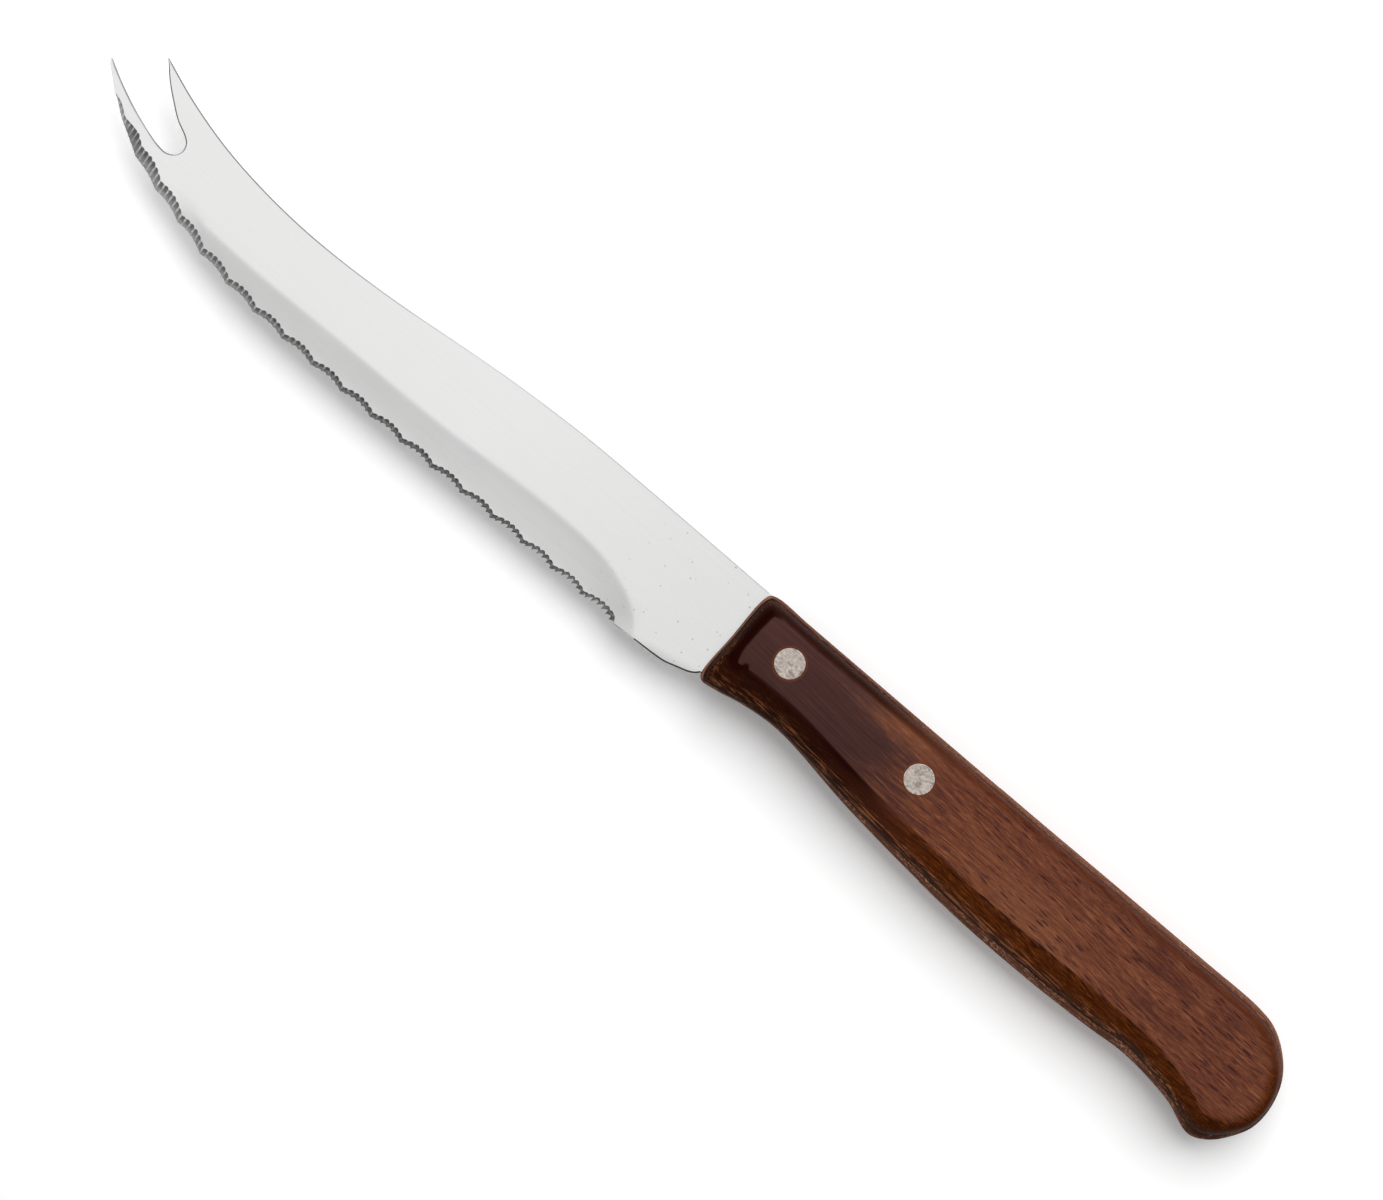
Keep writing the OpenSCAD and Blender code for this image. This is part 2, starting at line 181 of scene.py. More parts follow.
def curve_through(points, steps, closed=False):
    """A smooth curve through the points. Its first two columns are its place."""
    table = np.asarray(points, float)
    count = len(table)
    if closed:
        long = [table[i % count] for i in range(-1, count + 2)]
    else:
        long = [2 * table[0] - table[1], *table, 2 * table[-1] - table[-2]]
    curve = []
    for a, b, c, d in zip(long, long[1:], long[2:], long[3:]):
        gap_in, gap, gap_out = (
            math.sqrt(math.hypot(*(q - p)[:2])) for p, q in ((a, b), (b, c), (c, d))
        )
        start = ((b - a) / gap_in - (c - a) / (gap_in + gap) + (c - b) / gap) * gap
        end = ((c - b) / gap - (d - b) / (gap + gap_out) + (d - c) / gap_out) * gap
        for step in range(steps):
            t = step / steps
            curve.append(
                (2 * t**3 - 3 * t**2 + 1) * b
                + (t**3 - 2 * t**2 + t) * start
                + (3 * t**2 - 2 * t**3) * c
                + (t**3 - t**2) * end
            )
    if not closed:
        curve.append(table[-1])
    return np.array(curve)


def looked_up(table, values):
    """What a table of pairs says for the values."""
    return np.interp(values, *np.transpose(table))


def lengths_along(line):
    """The distance along a line of points, for each of them."""
    return np.concatenate([[0], np.cumsum(np.linalg.norm(np.diff(line, axis=0), axis=1))])


def points_at(line, distances):
    """Places on a line at the distances along it."""
    along = lengths_along(line)
    return np.column_stack([np.interp(distances, along, line[:, i]) for i in range(line.shape[1])])


def distance_to(places, line):
    """The distance from each place to a line of points."""
    start, step = line[:-1], np.diff(line, axis=0)
    nearest = np.full(len(places), np.inf)
    for a, d in zip(start, step):
        t = np.clip((places - a) @ d / max(d @ d, 1e-18), 0, 1)
        nearest = np.minimum(nearest, np.linalg.norm(places - a - t[:, None] * d, axis=1))
    return nearest


def inside(places, ring):
    """Which places lie inside a closed ring of points."""
    hit = np.zeros(len(places), bool)
    for (ax, ay), (bx, by) in zip(ring, np.roll(ring, -1, axis=0)):
        if ay == by:
            continue
        crosses = (ay > places[:, 1]) != (by > places[:, 1])
        hit ^= crosses & (places[:, 0] < (bx - ax) * (places[:, 1] - ay) / (by - ay) + ax)
    return hit


def inner_places(places, loop, distance, every=1):
    """The places inside a closed loop and further than a distance from it."""
    places = places[inside(places, loop)]
    border = np.vstack([loop, loop[:1]])[::every]
    return places[distance_to(places, border) > distance]


def right_hand(ring, closed=True):
    """Unit vectors in the plane, to the right of the way that the points run."""
    if closed:
        step = np.roll(ring, -1, axis=0) - np.roll(ring, 1, axis=0)
    else:
        step = np.gradient(ring, axis=0)
    step /= np.linalg.norm(step, axis=1)[:, None]
    return np.column_stack([step[:, 1], -step[:, 0]])


def outward(ring, closed=True):
    """Unit vectors in the plane that point out of a ring of points."""
    normals = right_hand(ring, closed)
    probes = ring + 0.05 * normals
    return -normals if inside(probes, ring).mean() > 0.5 else normals


def turns(count):
    """Equal steps round a circle, as angles."""
    return np.arange(count) * 2 * math.pi / count


def circle(centre, radius, count):
    """A ring of points round a centre."""
    turn = turns(count)
    return np.asarray(centre) + radius * np.column_stack([np.cos(turn), np.sin(turn)])


def raised(flat, height):
    """Places in the plane at a height, or each at its own."""
    return np.column_stack([flat, np.broadcast_to(height, (len(flat),))])


def fill(rings, extra=()):
    """Triangles inside the first ring and outside the others: their places and their corners."""
    places = [Vector(p) for ring in rings for p in ring]
    edges, start = [], 0
    for ring in rings:
        count = len(ring)
        edges += [(start + i, start + (i + 1) % count) for i in range(count)]
        start += count
    places += [Vector(p) for p in extra]
    verts, _, faces, *_ = delaunay_2d_cdt(places, edges, [], 1, 1e-9)
    flat = np.array([v[:] for v in verts])
    faces = np.array([tuple(f) for f in faces])
    middles = flat[faces].mean(axis=1)
    kept = inside(middles, np.asarray(rings[0]))
    for hole in rings[1:]:
        kept &= ~inside(middles, np.asarray(hole))
    return flat, [tuple(int(i) for i in face) for face in faces[kept]]


def hex_grid(low, high, spacing):
    """Places on a grid of equal triangles."""
    rows = np.arange(low[1], high[1], spacing * math.sqrt(0.75))
    places = [
        (x + (spacing / 2 if i % 2 else 0), y)
        for i, y in enumerate(rows)
        for x in np.arange(low[0], high[0], spacing)
    ]
    return np.array(places)


class Value:
    """A number in a node tree. Python's operators on it add Math nodes."""

    def __init__(self, graph, socket):
        self.graph, self.socket = graph, socket

    def math(self, operation, *others, clamp=False):
        """What a Math node makes of it."""
        inputs = dict(enumerate((self, *others)))
        node = self.graph.node("ShaderNodeMath", inputs, operation=operation, use_clamp=clamp)
        return Value(self.graph, node.outputs[0])

    def __add__(self, other):
        return self.math("ADD", other)

    def __radd__(self, other):
        return self.math("ADD", other)

    def __sub__(self, other):
        return self.math("SUBTRACT", other)

    def __rsub__(self, other):
        return self.graph.number(other).math("SUBTRACT", self)

    def __mul__(self, other):
        return self.math("MULTIPLY", other)

    def __rmul__(self, other):
        return self.math("MULTIPLY", other)

    def __truediv__(self, other):
        return self.math("DIVIDE", other)

    def __neg__(self):
        return self.math("MULTIPLY", -1.0)

    def __abs__(self):
        return self.math("ABSOLUTE")

    def __pow__(self, other):
        return self.math("POWER", other)

    def above(self, other):
        """1 where it is more than the other, else 0."""
        return self.math("GREATER_THAN", other)

    def clamped(self):
        """Kept between 0 and 1."""
        return self.math("ADD", 0.0, clamp=True)

    def rises(self, start, end):
        """0 up to start, 1 from end, and smooth between them. Falls where end is lower."""
        return self.mapped(start, end, 0.0, 1.0, "SMOOTHSTEP")

    def mapped(self, start, end, low, high, interpolation="LINEAR"):
        """Low up to start, high from end, and on a line between them."""
        if start > end:
            start, end, low, high = end, start, high, low
        node = self.graph.node(
            "ShaderNodeMapRange",
            {"Value": self, "From Min": start, "From Max": end, "To Min": low, "To Max": high},
            interpolation_type=interpolation,
            clamp=True,
        )
        return Value(self.graph, node.outputs[0])

    def band(self, low, high, soft):
        """1 between two values and 0 outside them, with soft borders."""
        return self.rises(low - soft, low + soft) * self.rises(high + soft, high - soft)


class Graph:
    """A node tree with one way to add a node to it."""

    def __init__(self, tree):
        self.tree = tree
        tree.nodes.clear()

    def node(self, kind, inputs=None, **settings):
        """Adds a node: its settings are set first, then its sockets' values or links."""
        node = self.tree.nodes.new(kind)
        for name, value in settings.items():
            setattr(node, name, value)
        for key, value in (inputs or {}).items():
            self.feed(node.inputs[key], value)
        return node

    def feed(self, socket, value):
        """Sets a socket's value or links something to it."""
        value = value.socket if isinstance(value, Value) else value
        if isinstance(value, bpy.types.NodeSocket):
            self.tree.links.new(value, socket)
        else:
            socket.default_value = value

    def number(self, value):
        """A number as a node, for what stands first in a subtraction."""
        node = self.node("ShaderNodeValue")
        node.outputs[0].default_value = value
        return Value(self, node.outputs[0])

    def mixed(self, factor, a, b):
        """A colour mixed from two."""
        inputs = {0: factor, 6: a, 7: b}
        node = self.node("ShaderNodeMix", inputs, data_type="RGBA", clamp_factor=True)
        return node.outputs[2]

    def vector(self, operation, *inputs, **named):
        """A Vector Math node's result: a number for a length or a distance, else a vector."""
        inputs = {**dict(enumerate(inputs)), **named}
        node = self.node("ShaderNodeVectorMath", inputs, operation=operation)
        if operation in {"LENGTH", "DISTANCE"}:
            return Value(self, node.outputs["Value"])
        return node.outputs[0]

    def parts(self, vector):
        """The three numbers of a vector."""
        node = self.node("ShaderNodeSeparateXYZ", {0: vector})
        return [Value(self, out) for out in node.outputs]

    def joined(self, x, y, z):
        """A vector of three numbers."""
        return self.node("ShaderNodeCombineXYZ", {0: x, 1: y, 2: z}).outputs[0]

    def rays(self, kind):
        """1 for a kind of light ray and 0 for the others."""
        return Value(self, self.node("ShaderNodeLightPath").outputs[f"Is {kind} Ray"])


def colour(red, green, blue):
    """A colour given in the eight-bit steps of a screen, as linear light."""
    steps = [c / 255 for c in (red, green, blue)]
    return (*(c / 12.92 if c <= 0.04045 else ((c + 0.055) / 1.055) ** 2.4 for c in steps), 1.0)


class Shader(Graph):
    """A material's nodes, with places in millimetres from the front of the handle."""

    def __init__(self, name, origin):
        material = bpy.data.materials.new(name)
        material.use_nodes = True
        super().__init__(material.node_tree)
        self.material = material
        self.base = self.node("ShaderNodeBsdfPrincipled")
        self.node("ShaderNodeOutputMaterial", {"Surface": self.base.outputs[0]})
        raw = self.node("ShaderNodeTexCoord").outputs["Object"]
        shifted = self.vector("SUBTRACT", raw, tuple(origin))
        self.place = self.vector("SCALE", shifted, Scale=1 / MM)

    def attribute(self, name):
        """A named attribute of the mesh."""
        node = self.node("ShaderNodeAttribute", attribute_name=name)
        return Value(self, node.outputs["Fac"])

    def spread(self, size, shift):
        """The place in a pattern whose grains have the size, in millimetres along each axis."""
        stretched = self.vector("MULTIPLY", self.place, tuple(1 / s for s in size))
        return self.vector("ADD", stretched, shift)

    def noise(self, size, detail=3.0, roughness=0.5, shift=(0, 0, 0)):
        """Noise with grains of the size."""
        place = self.spread(size, shift)
        inputs = {"Vector": place, "Scale": 1.0, "Detail": detail, "Roughness": roughness}
        return Value(self, self.node("ShaderNodeTexNoise", inputs).outputs[0])

    def grains(self, size, shift=(0, 0, 0)):
        """Cells of the size: the distance from a cell's middle, and the cell's random number."""
        inputs = {"Vector": self.spread(size, shift), "Scale": 1.0}
        node = self.node("ShaderNodeTexVoronoi", inputs)
        chance = self.parts(node.outputs["Color"])[0]
        return Value(self, node.outputs["Distance"]), chance

    def lay(self, factor, colour):
        """Mixes a colour over what has been laid down so far."""
        self.laid = self.mixed(factor, self.laid, colour)

    def set(self, **values):
        """Sets the shader's own sockets."""
        for name, value in values.items():
            self.feed(self.base.inputs[name.replace("_", " ")], value)

    def bump(self, height, distance, strength=1.0):
        """Feeds the normal from a height. The distance is in metres."""
        inputs = {"Strength": strength, "Distance": distance, "Height": height}
        self.set(Normal=self.node("ShaderNodeBump", inputs).outputs[0])


class Shape(Graph):
    """A Geometry Nodes tree that moves the points of a cage. Its sizes are named inputs."""

    def __init__(self, name, sizes):
        super().__init__(bpy.data.node_groups.new(name, "GeometryNodeTree"))
        self.ids = {}
        self.opening("Geometry", "Geometry")
        for key, value in sizes.items():
            kind = {int: "Int", Vector: "Vector"}.get(type(value), "Float")
            self.opening(key, kind).default_value = value
        self.opening("Material", "Material")
        self.opening("Geometry", "Geometry", "OUTPUT")
        self.entry = self.node("NodeGroupInput")

    def opening(self, name, kind, way="INPUT"):
        """A named input or output of the tree."""
        item = self.tree.interface.new_socket(name, in_out=way, socket_type="NodeSocket" + kind)
        self.ids[name, way] = item.identifier
        return item

    def __getitem__(self, name):
        """One of the named inputs."""
        return Value(self, self.entry.outputs[name])

    def stored(self, name, kind="FLOAT"):
        """A named attribute of the cage."""
        node = self.node("GeometryNodeInputNamedAttribute", {"Name": name}, data_type=kind)
        return node.outputs[0] if kind == "FLOAT_VECTOR" else Value(self, node.outputs[0])

    def finish(self, position, **kept):
        """Sets the points' places, stores numbers, makes instances real and gives the material."""
        inputs = {0: self.entry.outputs[0], "Position": position}
        made = self.node("GeometryNodeSetPosition", inputs)
        for name, value in kept.items():
            made = self.node(
                "GeometryNodeStoreNamedAttribute",
                {"Geometry": made.outputs[0], "Name": name, "Value": value},
                data_type="FLOAT",
                domain="POINT",
            )
        real = self.node("GeometryNodeRealizeInstances", {0: made.outputs[0]})
        inputs = {0: real.outputs[0], "Material": self["Material"]}
        painted = self.node("GeometryNodeSetMaterial", inputs)
        self.node("NodeGroupOutput", {0: painted.outputs[0]})

    def shaped(self, cage, sizes, material):
        """The plain mesh that the tree makes of a cage."""
        piece = bpy.data.objects.new(cage.name, cage)
        bpy.context.scene.collection.objects.link(piece)
        modifier = piece.modifiers.new(self.tree.name, "NODES")
        modifier.node_group = self.tree
        for name, value in {**sizes, "Material": material}.items():
            modifier[self.ids[name, "INPUT"]] = value
        graph = bpy.context.evaluated_depsgraph_get()
        made = bpy.data.meshes.new_from_object(
            piece.evaluated_get(graph), preserve_all_data_layers=True, depsgraph=graph
        )
        piece.modifiers.remove(modifier)
        bpy.data.objects.remove(piece)
        return made


def grid_faces(rows, columns, closed=False):
    """Quads of a grid whose points run along the columns, row by row."""
    last = columns if closed else columns - 1
    return [
        (
            row * columns + i,
            row * columns + (i + 1) % columns,
            (row + 1) * columns + (i + 1) % columns,
            (row + 1) * columns + i,
        )
        for row in range(rows - 1)
        for i in range(last)
    ]


def cage_mesh(name, places, faces, numbers, vectors=None):
    """A mesh with named attributes for a Geometry Nodes tree."""
    mesh = bpy.data.meshes.new(name)
    mesh.from_pydata([tuple(p) for p in places], [], faces)
    for key, values in numbers.items():
        layer = mesh.attributes.new(key, "FLOAT", "POINT")
        layer.data.foreach_set("value", np.asarray(values, np.float32))
    for key, values in (vectors or {}).items():
        layer = mesh.attributes.new(key, "FLOAT_VECTOR", "POINT")
        layer.data.foreach_set("vector", np.asarray(values, np.float32).ravel())
    return mesh


def points_of(mesh, origin):
    """A mesh's points in millimetres from the origin."""
    co = np.empty(len(mesh.vertices) * 3)
    mesh.vertices.foreach_get("co", co)
    return (co.reshape(-1, 3) - np.array(origin)) / MM


def write_closed(bm, mesh, sharp_angle):
    """Merges doubled points, turns faces outwards, marks edges past the angle, fills the mesh."""
    bmesh.ops.remove_doubles(bm, verts=bm.verts, dist=MERGE)
    bmesh.ops.dissolve_degenerate(bm, edges=bm.edges, dist=MERGE / 4)
    bmesh.ops.recalc_face_normals(bm, faces=bm.faces)
    for face in bm.faces:
        face.smooth = True
    for edge in bm.edges:
        edge.smooth = edge.calc_face_angle(math.pi) < sharp_angle
    bm.to_mesh(mesh)
    bm.free()
    return mesh


class Solid:
    """Collects points and faces with attributes, and makes one closed mesh of them."""

    def __init__(self, keys, face_keys=()):
        self.keys, self.face_keys = keys, face_keys
        self.places, self.numbers, self.faces, self.marks = [], [], [], []

    def add(self, places, faces, flip=False, **numbers):
        """Adds points in millimetres and faces. Numbers are per point or face, or one for all."""
        start = len(self.places)
        count = len(places)
        columns = [np.broadcast_to(numbers.get(key, 0.0), (count,)) for key in self.keys]
        marks = [np.broadcast_to(numbers.get(key, 0.0), (len(faces),)) for key in self.face_keys]
        self.places += [tuple(p) for p in places]
        self.numbers += [tuple(column[i] for column in columns) for i in range(count)]
        self.marks += [tuple(mark[i] for mark in marks) for i in range(len(faces))]
        self.faces += [
            tuple(start + i for i in (reversed(face) if flip else face)) for face in faces
        ]

    def mesh(self, name, origin, sharp_angle):
        """The merged mesh in metres, with sharp edges past an angle."""
        bm = bmesh.new()
        layers = [bm.verts.layers.float.new(key) for key in self.keys]
        face_layers = [bm.faces.layers.float.new(key) for key in self.face_keys]
        for place, numbers in zip(self.places, self.numbers):
            vert = bm.verts.new([p * MM + o for p, o in zip(place, origin)])
            for layer, number in zip(layers, numbers):
                vert[layer] = number
        bm.verts.ensure_lookup_table()
        for points, marks in zip(self.faces, self.marks):
            face = bm.faces.new([bm.verts[i] for i in points])
            for layer, mark in zip(face_layers, marks):
                face[layer] = mark
        return write_closed(bm, bpy.data.meshes.new(name), sharp_angle)


def put_piece(name, mesh, material, slot, *nodes):
    """Puts a finished mesh in the scene in place of its CAD nodes."""
    mesh.materials.clear()
    mesh.materials.append(material)
    piece = bpy.data.objects.new(name, mesh)
    bpy.context.scene.collection.objects.link(piece)
    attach(piece, "root")
    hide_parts(*nodes)


def length(name, description, default):
    """A length property. The default is in millimetres."""
    return bpy.props.FloatProperty(
        name=name, description=description, default=default * MM, unit="LENGTH", precision=5
    )


def spot(name, description, *default):
    """A place in the plane. The default is in millimetres."""
    return bpy.props.FloatVectorProperty(
        name=name, description=description, default=[c * MM for c in default], size=2,
        unit="LENGTH",
    )


def angle(name, description, default):
    """An angle. The default is in degrees."""
    return bpy.props.FloatProperty(
        name=name, description=description, default=math.radians(default), subtype="ANGLE"
    )


def whole(name, description, default):
    """A whole number."""
    return bpy.props.IntProperty(name=name, description=description, default=default)


def share(name, description, default):
    """A share, or another plain number."""
    return bpy.props.FloatProperty(name=name, description=description, default=default)


def tint(name, description, default):
    """A colour with its alpha."""
    return bpy.props.FloatVectorProperty(
        name=name, description=description, default=default, subtype="COLOR", size=4, min=0, max=1
    )


class KnifeBladeSettings(bpy.types.PropertyGroup):
    """Sizes and colours of the blade."""

    length: length("Length", "From the handle to the tip of the longer prong", 130)
    height: length("Height", "From the edge to the spine at the heel", 19.2)
    thickness: length("Thickness", "Thickness of the steel", 1.4)
    grind_thickness: length("Grind thickness", "Thickness that the hollow grind leaves", 0.65)
    grind_width: length("Grind width", "From the shoulder line to the deepest line", 7.3)
    rounding: length("Rounding", "Width of the broken edges", 0.2)
    scallop_pitch: length("Scallop pitch", "From one scallop's point to the next", 6.04)
    scallop_start: length("Scallop start", "From the serration's end to the first point", 0.7)
    scallop_depth: length("Scallop depth", "Depth of a scallop", 0.5)
    notch_heel: length("Notch at the heel", "Depth of the flutes' notches at the heel", 0.95)
    notch_tip: length("Notch at the tip", "Depth of the flutes' notches at the tip", 0.08)
    arch: length("Arch", "Height of the arch at the top of a flute", 0.34)
    flutes: whole("Flutes", "Number of flutes", 113)
    cut_angle: angle("Cut angle", "Angle between the flutes and the blade's face", 38)
    tang_length: length("Tang length", "Length of the tang inside the handle", 46)
    tang_inset: length("Tang inset", "From the wood's surface to the tang's edges", 0.3)
    tang_hole: length("Tang hole", "Diameter of the holes in the tang", 3.5)
    steel: tint("Steel", "Colour of the steel", (0.82, 0.82, 0.815, 1))


class KnifeHandleSettings(bpy.types.PropertyGroup):
    """Sizes and colours of the handle."""

    length: length("Length", "Length of the handle", 110)
    width: length("Width", "Width of the handle at its belly", 19.8)
    thickness: length("Thickness", "Between the flat faces", 13)
    crease_height: length("Crease height", "From the middle to the crease", 3.4)
    crease_place: share("Crease place", "How far in the crease lies, as a share", 0.74)
    crease_angle: angle("Crease angle", "Angle of the shoulder's curve at the crease", 22)
    wall_curve: share("Wall curve", "How evenly the side wall leans, from 0 to 1", 0.05)
    slot_width: length("Slot width", "Width of the slot for the tang", 1.5)
    slot_depth: length("Slot depth", "From the front to the end of the slot", 47.2224)
    saw_radius: length("Saw radius", "Radius of the slot's round end", 60)
    unevenness: share("Unevenness", "How far the crease wanders, as a share", 0.03)
    seed: whole("Seed", "Seed of the crease's wander", 4)
    # The front's colour is dark wood with a painted grey sheen
    dark: tint("Dark wood", "Colour of the front of the handle", colour(57, 34, 32))
    red: tint("Red wood", "Colour of the rest of the handle", colour(101, 56, 39))
    shade: tint("Shaded wood", "Colour between the red streaks", colour(76, 40, 32))
    light: tint("Light streaks", "Colour of the light streaks", colour(142, 91, 61))
    dashes: tint("Dark dashes", "Colour of the short dark dashes", colour(46, 22, 27))
    # The golden band is painted shade on the belly's shoulder
    gold: tint("Golden band", "Colour of the band round the belly", colour(68, 27, 4))
    rim: tint("Rim", "Colour of the side wall", colour(92, 59, 44))


class KnifeRivetSettings(bpy.types.PropertyGroup):
    """Sizes and colours of the rivets."""

    head: length("Head", "Diameter of the heads", 4.85)
    head_depth: length("Head depth", "Thickness of the heads", 2.2)
    shank: length("Shank", "Diameter of the shank", 3.2)
    dent: length("Dent", "Depth of the heads' shallow dents", 0.03)
    front: spot("Front rivet", "Place of the front rivet from the handle's front", 9.4, 2.2)
    rear: spot("Rear rivet", "Place of the rear rivet from the handle's front", 35.8, 1.6)
    gap: length("Gap", "Gap round a rivet in the wood", 0.05)
    metal: tint("Rivet metal", "Colour of the rivets", (0.58, 0.505, 0.455, 1))


class KnifeStudioSettings(bpy.types.PropertyGroup):
    """The camera, the lamp and the floor."""

    turn: angle("Turn", "How far the camera is turned about its own line of sight", 40.5)
    middle: spot("Middle", "The point of the floor under the camera", 1.73, 0.82)
    distance: length("Distance", "From the camera to the middle of the knife", 800)
    view_width: length("View width", "Width of the view at the middle of the knife", 212.3)
    floor: tint("Floor", "Colour of the floor", (0.97, 0.97, 0.97, 1))
    glow: share("Glow", "Light that the camera alone sees on the floor", 0.08)
    ambient: share("Ambient", "Light from all round", 0.42)
    overhead: share("Overhead", "Brightness that the steel mirrors from above", 1.19)
    lamp: share("Lamp", "Power of the lamp", 7.3)


def outline_ring(settings, steps):
    """The handle's ring of points in millimetres: outline, flat and crease share."""
    size = (settings.length / MM, settings.width / MM)
    return curve_through(
        [(a * size[0], b * size[1], c * size[0], d * size[1], e) for a, b, c, d, e in HANDLE],
        steps,
        closed=True,
    )


def knife_origin():
    """Where the front of the handle meets the knife's axis, in metres."""
    low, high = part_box("handle")
    ring = outline_ring(bpy.context.scene.knife_handle, COARSE)
    return Vector(
        (high.x - ring[:, 0].max() * MM, low.y - ring[:, 1].min() * MM, (low.z + high.z) / 2)
    )


class BladePlan:
    """The blade's lines in the plane, in millimetres, and the height of its ground face."""

    def __init__(self, settings, handle, rivets):
        self.settings = settings
        size = (-settings.length / MM, settings.height / MM)

        def on_blade(table, steps):
            return curve_through([(a * size[0], b * size[1]) for a, b in table], steps)

        self.face = settings.thickness / MM / 2
        self.spine = on_blade(SPINE, 14)
        self.fork = on_blade(FORK, 10)
        self.prong = on_blade(PRONG, 6)
        self.heel = on_blade(HEEL, 6)
        self.edge = on_blade(EDGE, 24)
        self.shoulder = on_blade(SHOULDER, 8)
        ring = outline_ring(handle, COARSE)
        reach = settings.tang_length / MM
        inset = settings.tang_inset / MM
        past_front = 0.02 * handle.length / MM
        inner = (ring[:, 0] > past_front) & (ring[:, 0] < reach)
        top = ring[inner & (ring[:, 1] > 0)][:, :2] - (0, inset)
        low = ring[inner & (ring[:, 1] < 0)][:, :2] + (0, inset)
        self.tang = np.vstack([top, [(reach, top[-1, 1]), (reach, low[0, 1])], low])
        self.holes = [
            circle(np.array(place) / MM, settings.tang_hole / MM / 2, HOLE_SEGMENTS)
            for place in (rivets.front, rivets.rear)
        ]

    def on_ground(self, places):
        """Which places lie on the edge's side of the grind's shoulder line."""
        line = self.shoulder
        return places[:, 1] < np.interp(-places[:, 0], -line[:, 0], line[:, 1])

    def half_thickness(self, places):
        """Half of the blade's thickness at each place, with a soft start of the grind."""
        s = self.settings
        depth = (s.thickness - s.grind_thickness) / MM / 2
        far = distance_to(places, self.shoulder)
        soft = 0.3
        eased = np.sqrt(far**2 + soft**2) - soft
        ground = depth * (1 - (1 - np.minimum(eased * MM / s.grind_width, 1)) ** 2)
        return self.face - np.where(self.on_ground(places), ground, 0)


def serration_shape(sizes):
    """The tree that cuts scallops and flutes into a strip along the edge."""
    shape = Shape("Serration", sizes)
    start, arch, slope, notch_tip, edge_length = (
        shape[name] for name in ("Scallop Start", "Arch", "Slope", "Notch At Tip", "Edge Length")
    )
    foot, inward = (shape.stored(name, "FLOAT_VECTOR") for name in ("foot", "inward"))
    along, level, reach, room, wear_and_shade, kept, *heights = (
        shape.stored(name)
        for name in ("along", "level", "reach", "room", "wear_and_shade", "kept",
                     "height_edge", "height_half", "height_border")
    )

    turn = (along - start) / shape["Scallop Pitch"]
    across = turn.math("FRACT") * 2.0 - 1.0
    on = turn.above(0.0) * (1.0 - along.above(edge_length - start))
    scallop = (1.0 - across * across) * on
    cup = shape["Scallop Depth"] * wear_and_shade * scallop
    place = (along / shape["Flute Pitch"]).math("FRACT")
    phase = place * 2.0 - 1.0
    valley = 1.0 - phase * phase
    # Towards the heel the notches grow and lean over into saw teeth
    tooth_root = 0.18
    saw = ((1.0 - place) / (1.0 - tooth_root)).math("MINIMUM", place / tooth_root) ** 0.7
    to_heel = 1.0 - along / edge_length
    heel = to_heel.rises(0.35, 1.0)
    form = valley + (saw - valley) * heel
    notch = notch_tip + (shape["Notch At Heel"] - notch_tip) * to_heel * to_heel
    # Notches and arches are smaller at a scallop's points
    edge_inset = cup + notch * form * (scallop * 0.6 + 0.4)
    edge_inset = edge_inset.math("MINIMUM", room * 0.6)
    run = heights[0] * 2.0 / slope
    peak = arch * valley * (scallop * 0.8 + 0.2)
    top_inset = (cup + run + peak).math("MINIMUM", room)

    cut = level.clamped()
    beyond = (level - 1.0).clamped()
    below = (-level).clamped()
    width = (
        edge_inset
        + (top_inset - edge_inset) * cut
        + (reach - top_inset) * beyond
        + (reach - edge_inset) * below
    )
    step = width / reach * 2.0
    surface = (
        heights[0]
        + (heights[1] - heights[0]) * step.clamped()
        + (heights[2] - heights[1]) * (step - 1.0).clamped()
    )
    # The cut's section is a little hollow
    rise = (cut * 0.6 + cut * cut * cut * 0.4) * 2.0 - 1.0
    sign = level.above(0.0) * rise.math("MAXIMUM", -1.0) - (1.0 - level.above(0.0))
    sideways = shape.vector("SCALE", inward, Scale=width)
    upright = shape.joined(0.0, 0.0, surface * sign)
    free = shape.vector("ADD", shape.vector("ADD", foot, sideways), upright)
    still = shape.node("GeometryNodeInputPosition").outputs[0]
    inputs = {0: kept, 4: free, 5: still}
    chosen = shape.node("ShaderNodeMix", inputs, data_type="VECTOR", factor_mode="UNIFORM")

    # Painted shade and light on the cut: grooves painted dark under their tops, the flat crest
    # between two scallops pale, a dark line along the crests' tops, all darker towards the heel
    groove = valley.rises(0.18, 0.66)
    top = cut.rises(0.25, 0.85)
    back = to_heel.rises(0.1, 0.7)
    groove_gleam = (0.56 - 0.4 * top) * (1.0 - back * 0.3)
    crest_gleam = 0.9 + 0.1 * (1.0 - scallop.rises(0.15, 0.45)) - back * 0.5 - heel * 0.12
    line = cut.rises(0.84, 0.96) * (1.0 - groove) * 0.5 * (1.0 - back)
    gleam = crest_gleam + (groove_gleam - crest_gleam) * groove - line
    gleam = gleam * (1.0 - back * 0.28) * wear_and_shade.mapped(0.1, 0.8, 0.6, 1.0)
    shape.finish(chosen.outputs[1], gleam=gleam)
    return shape


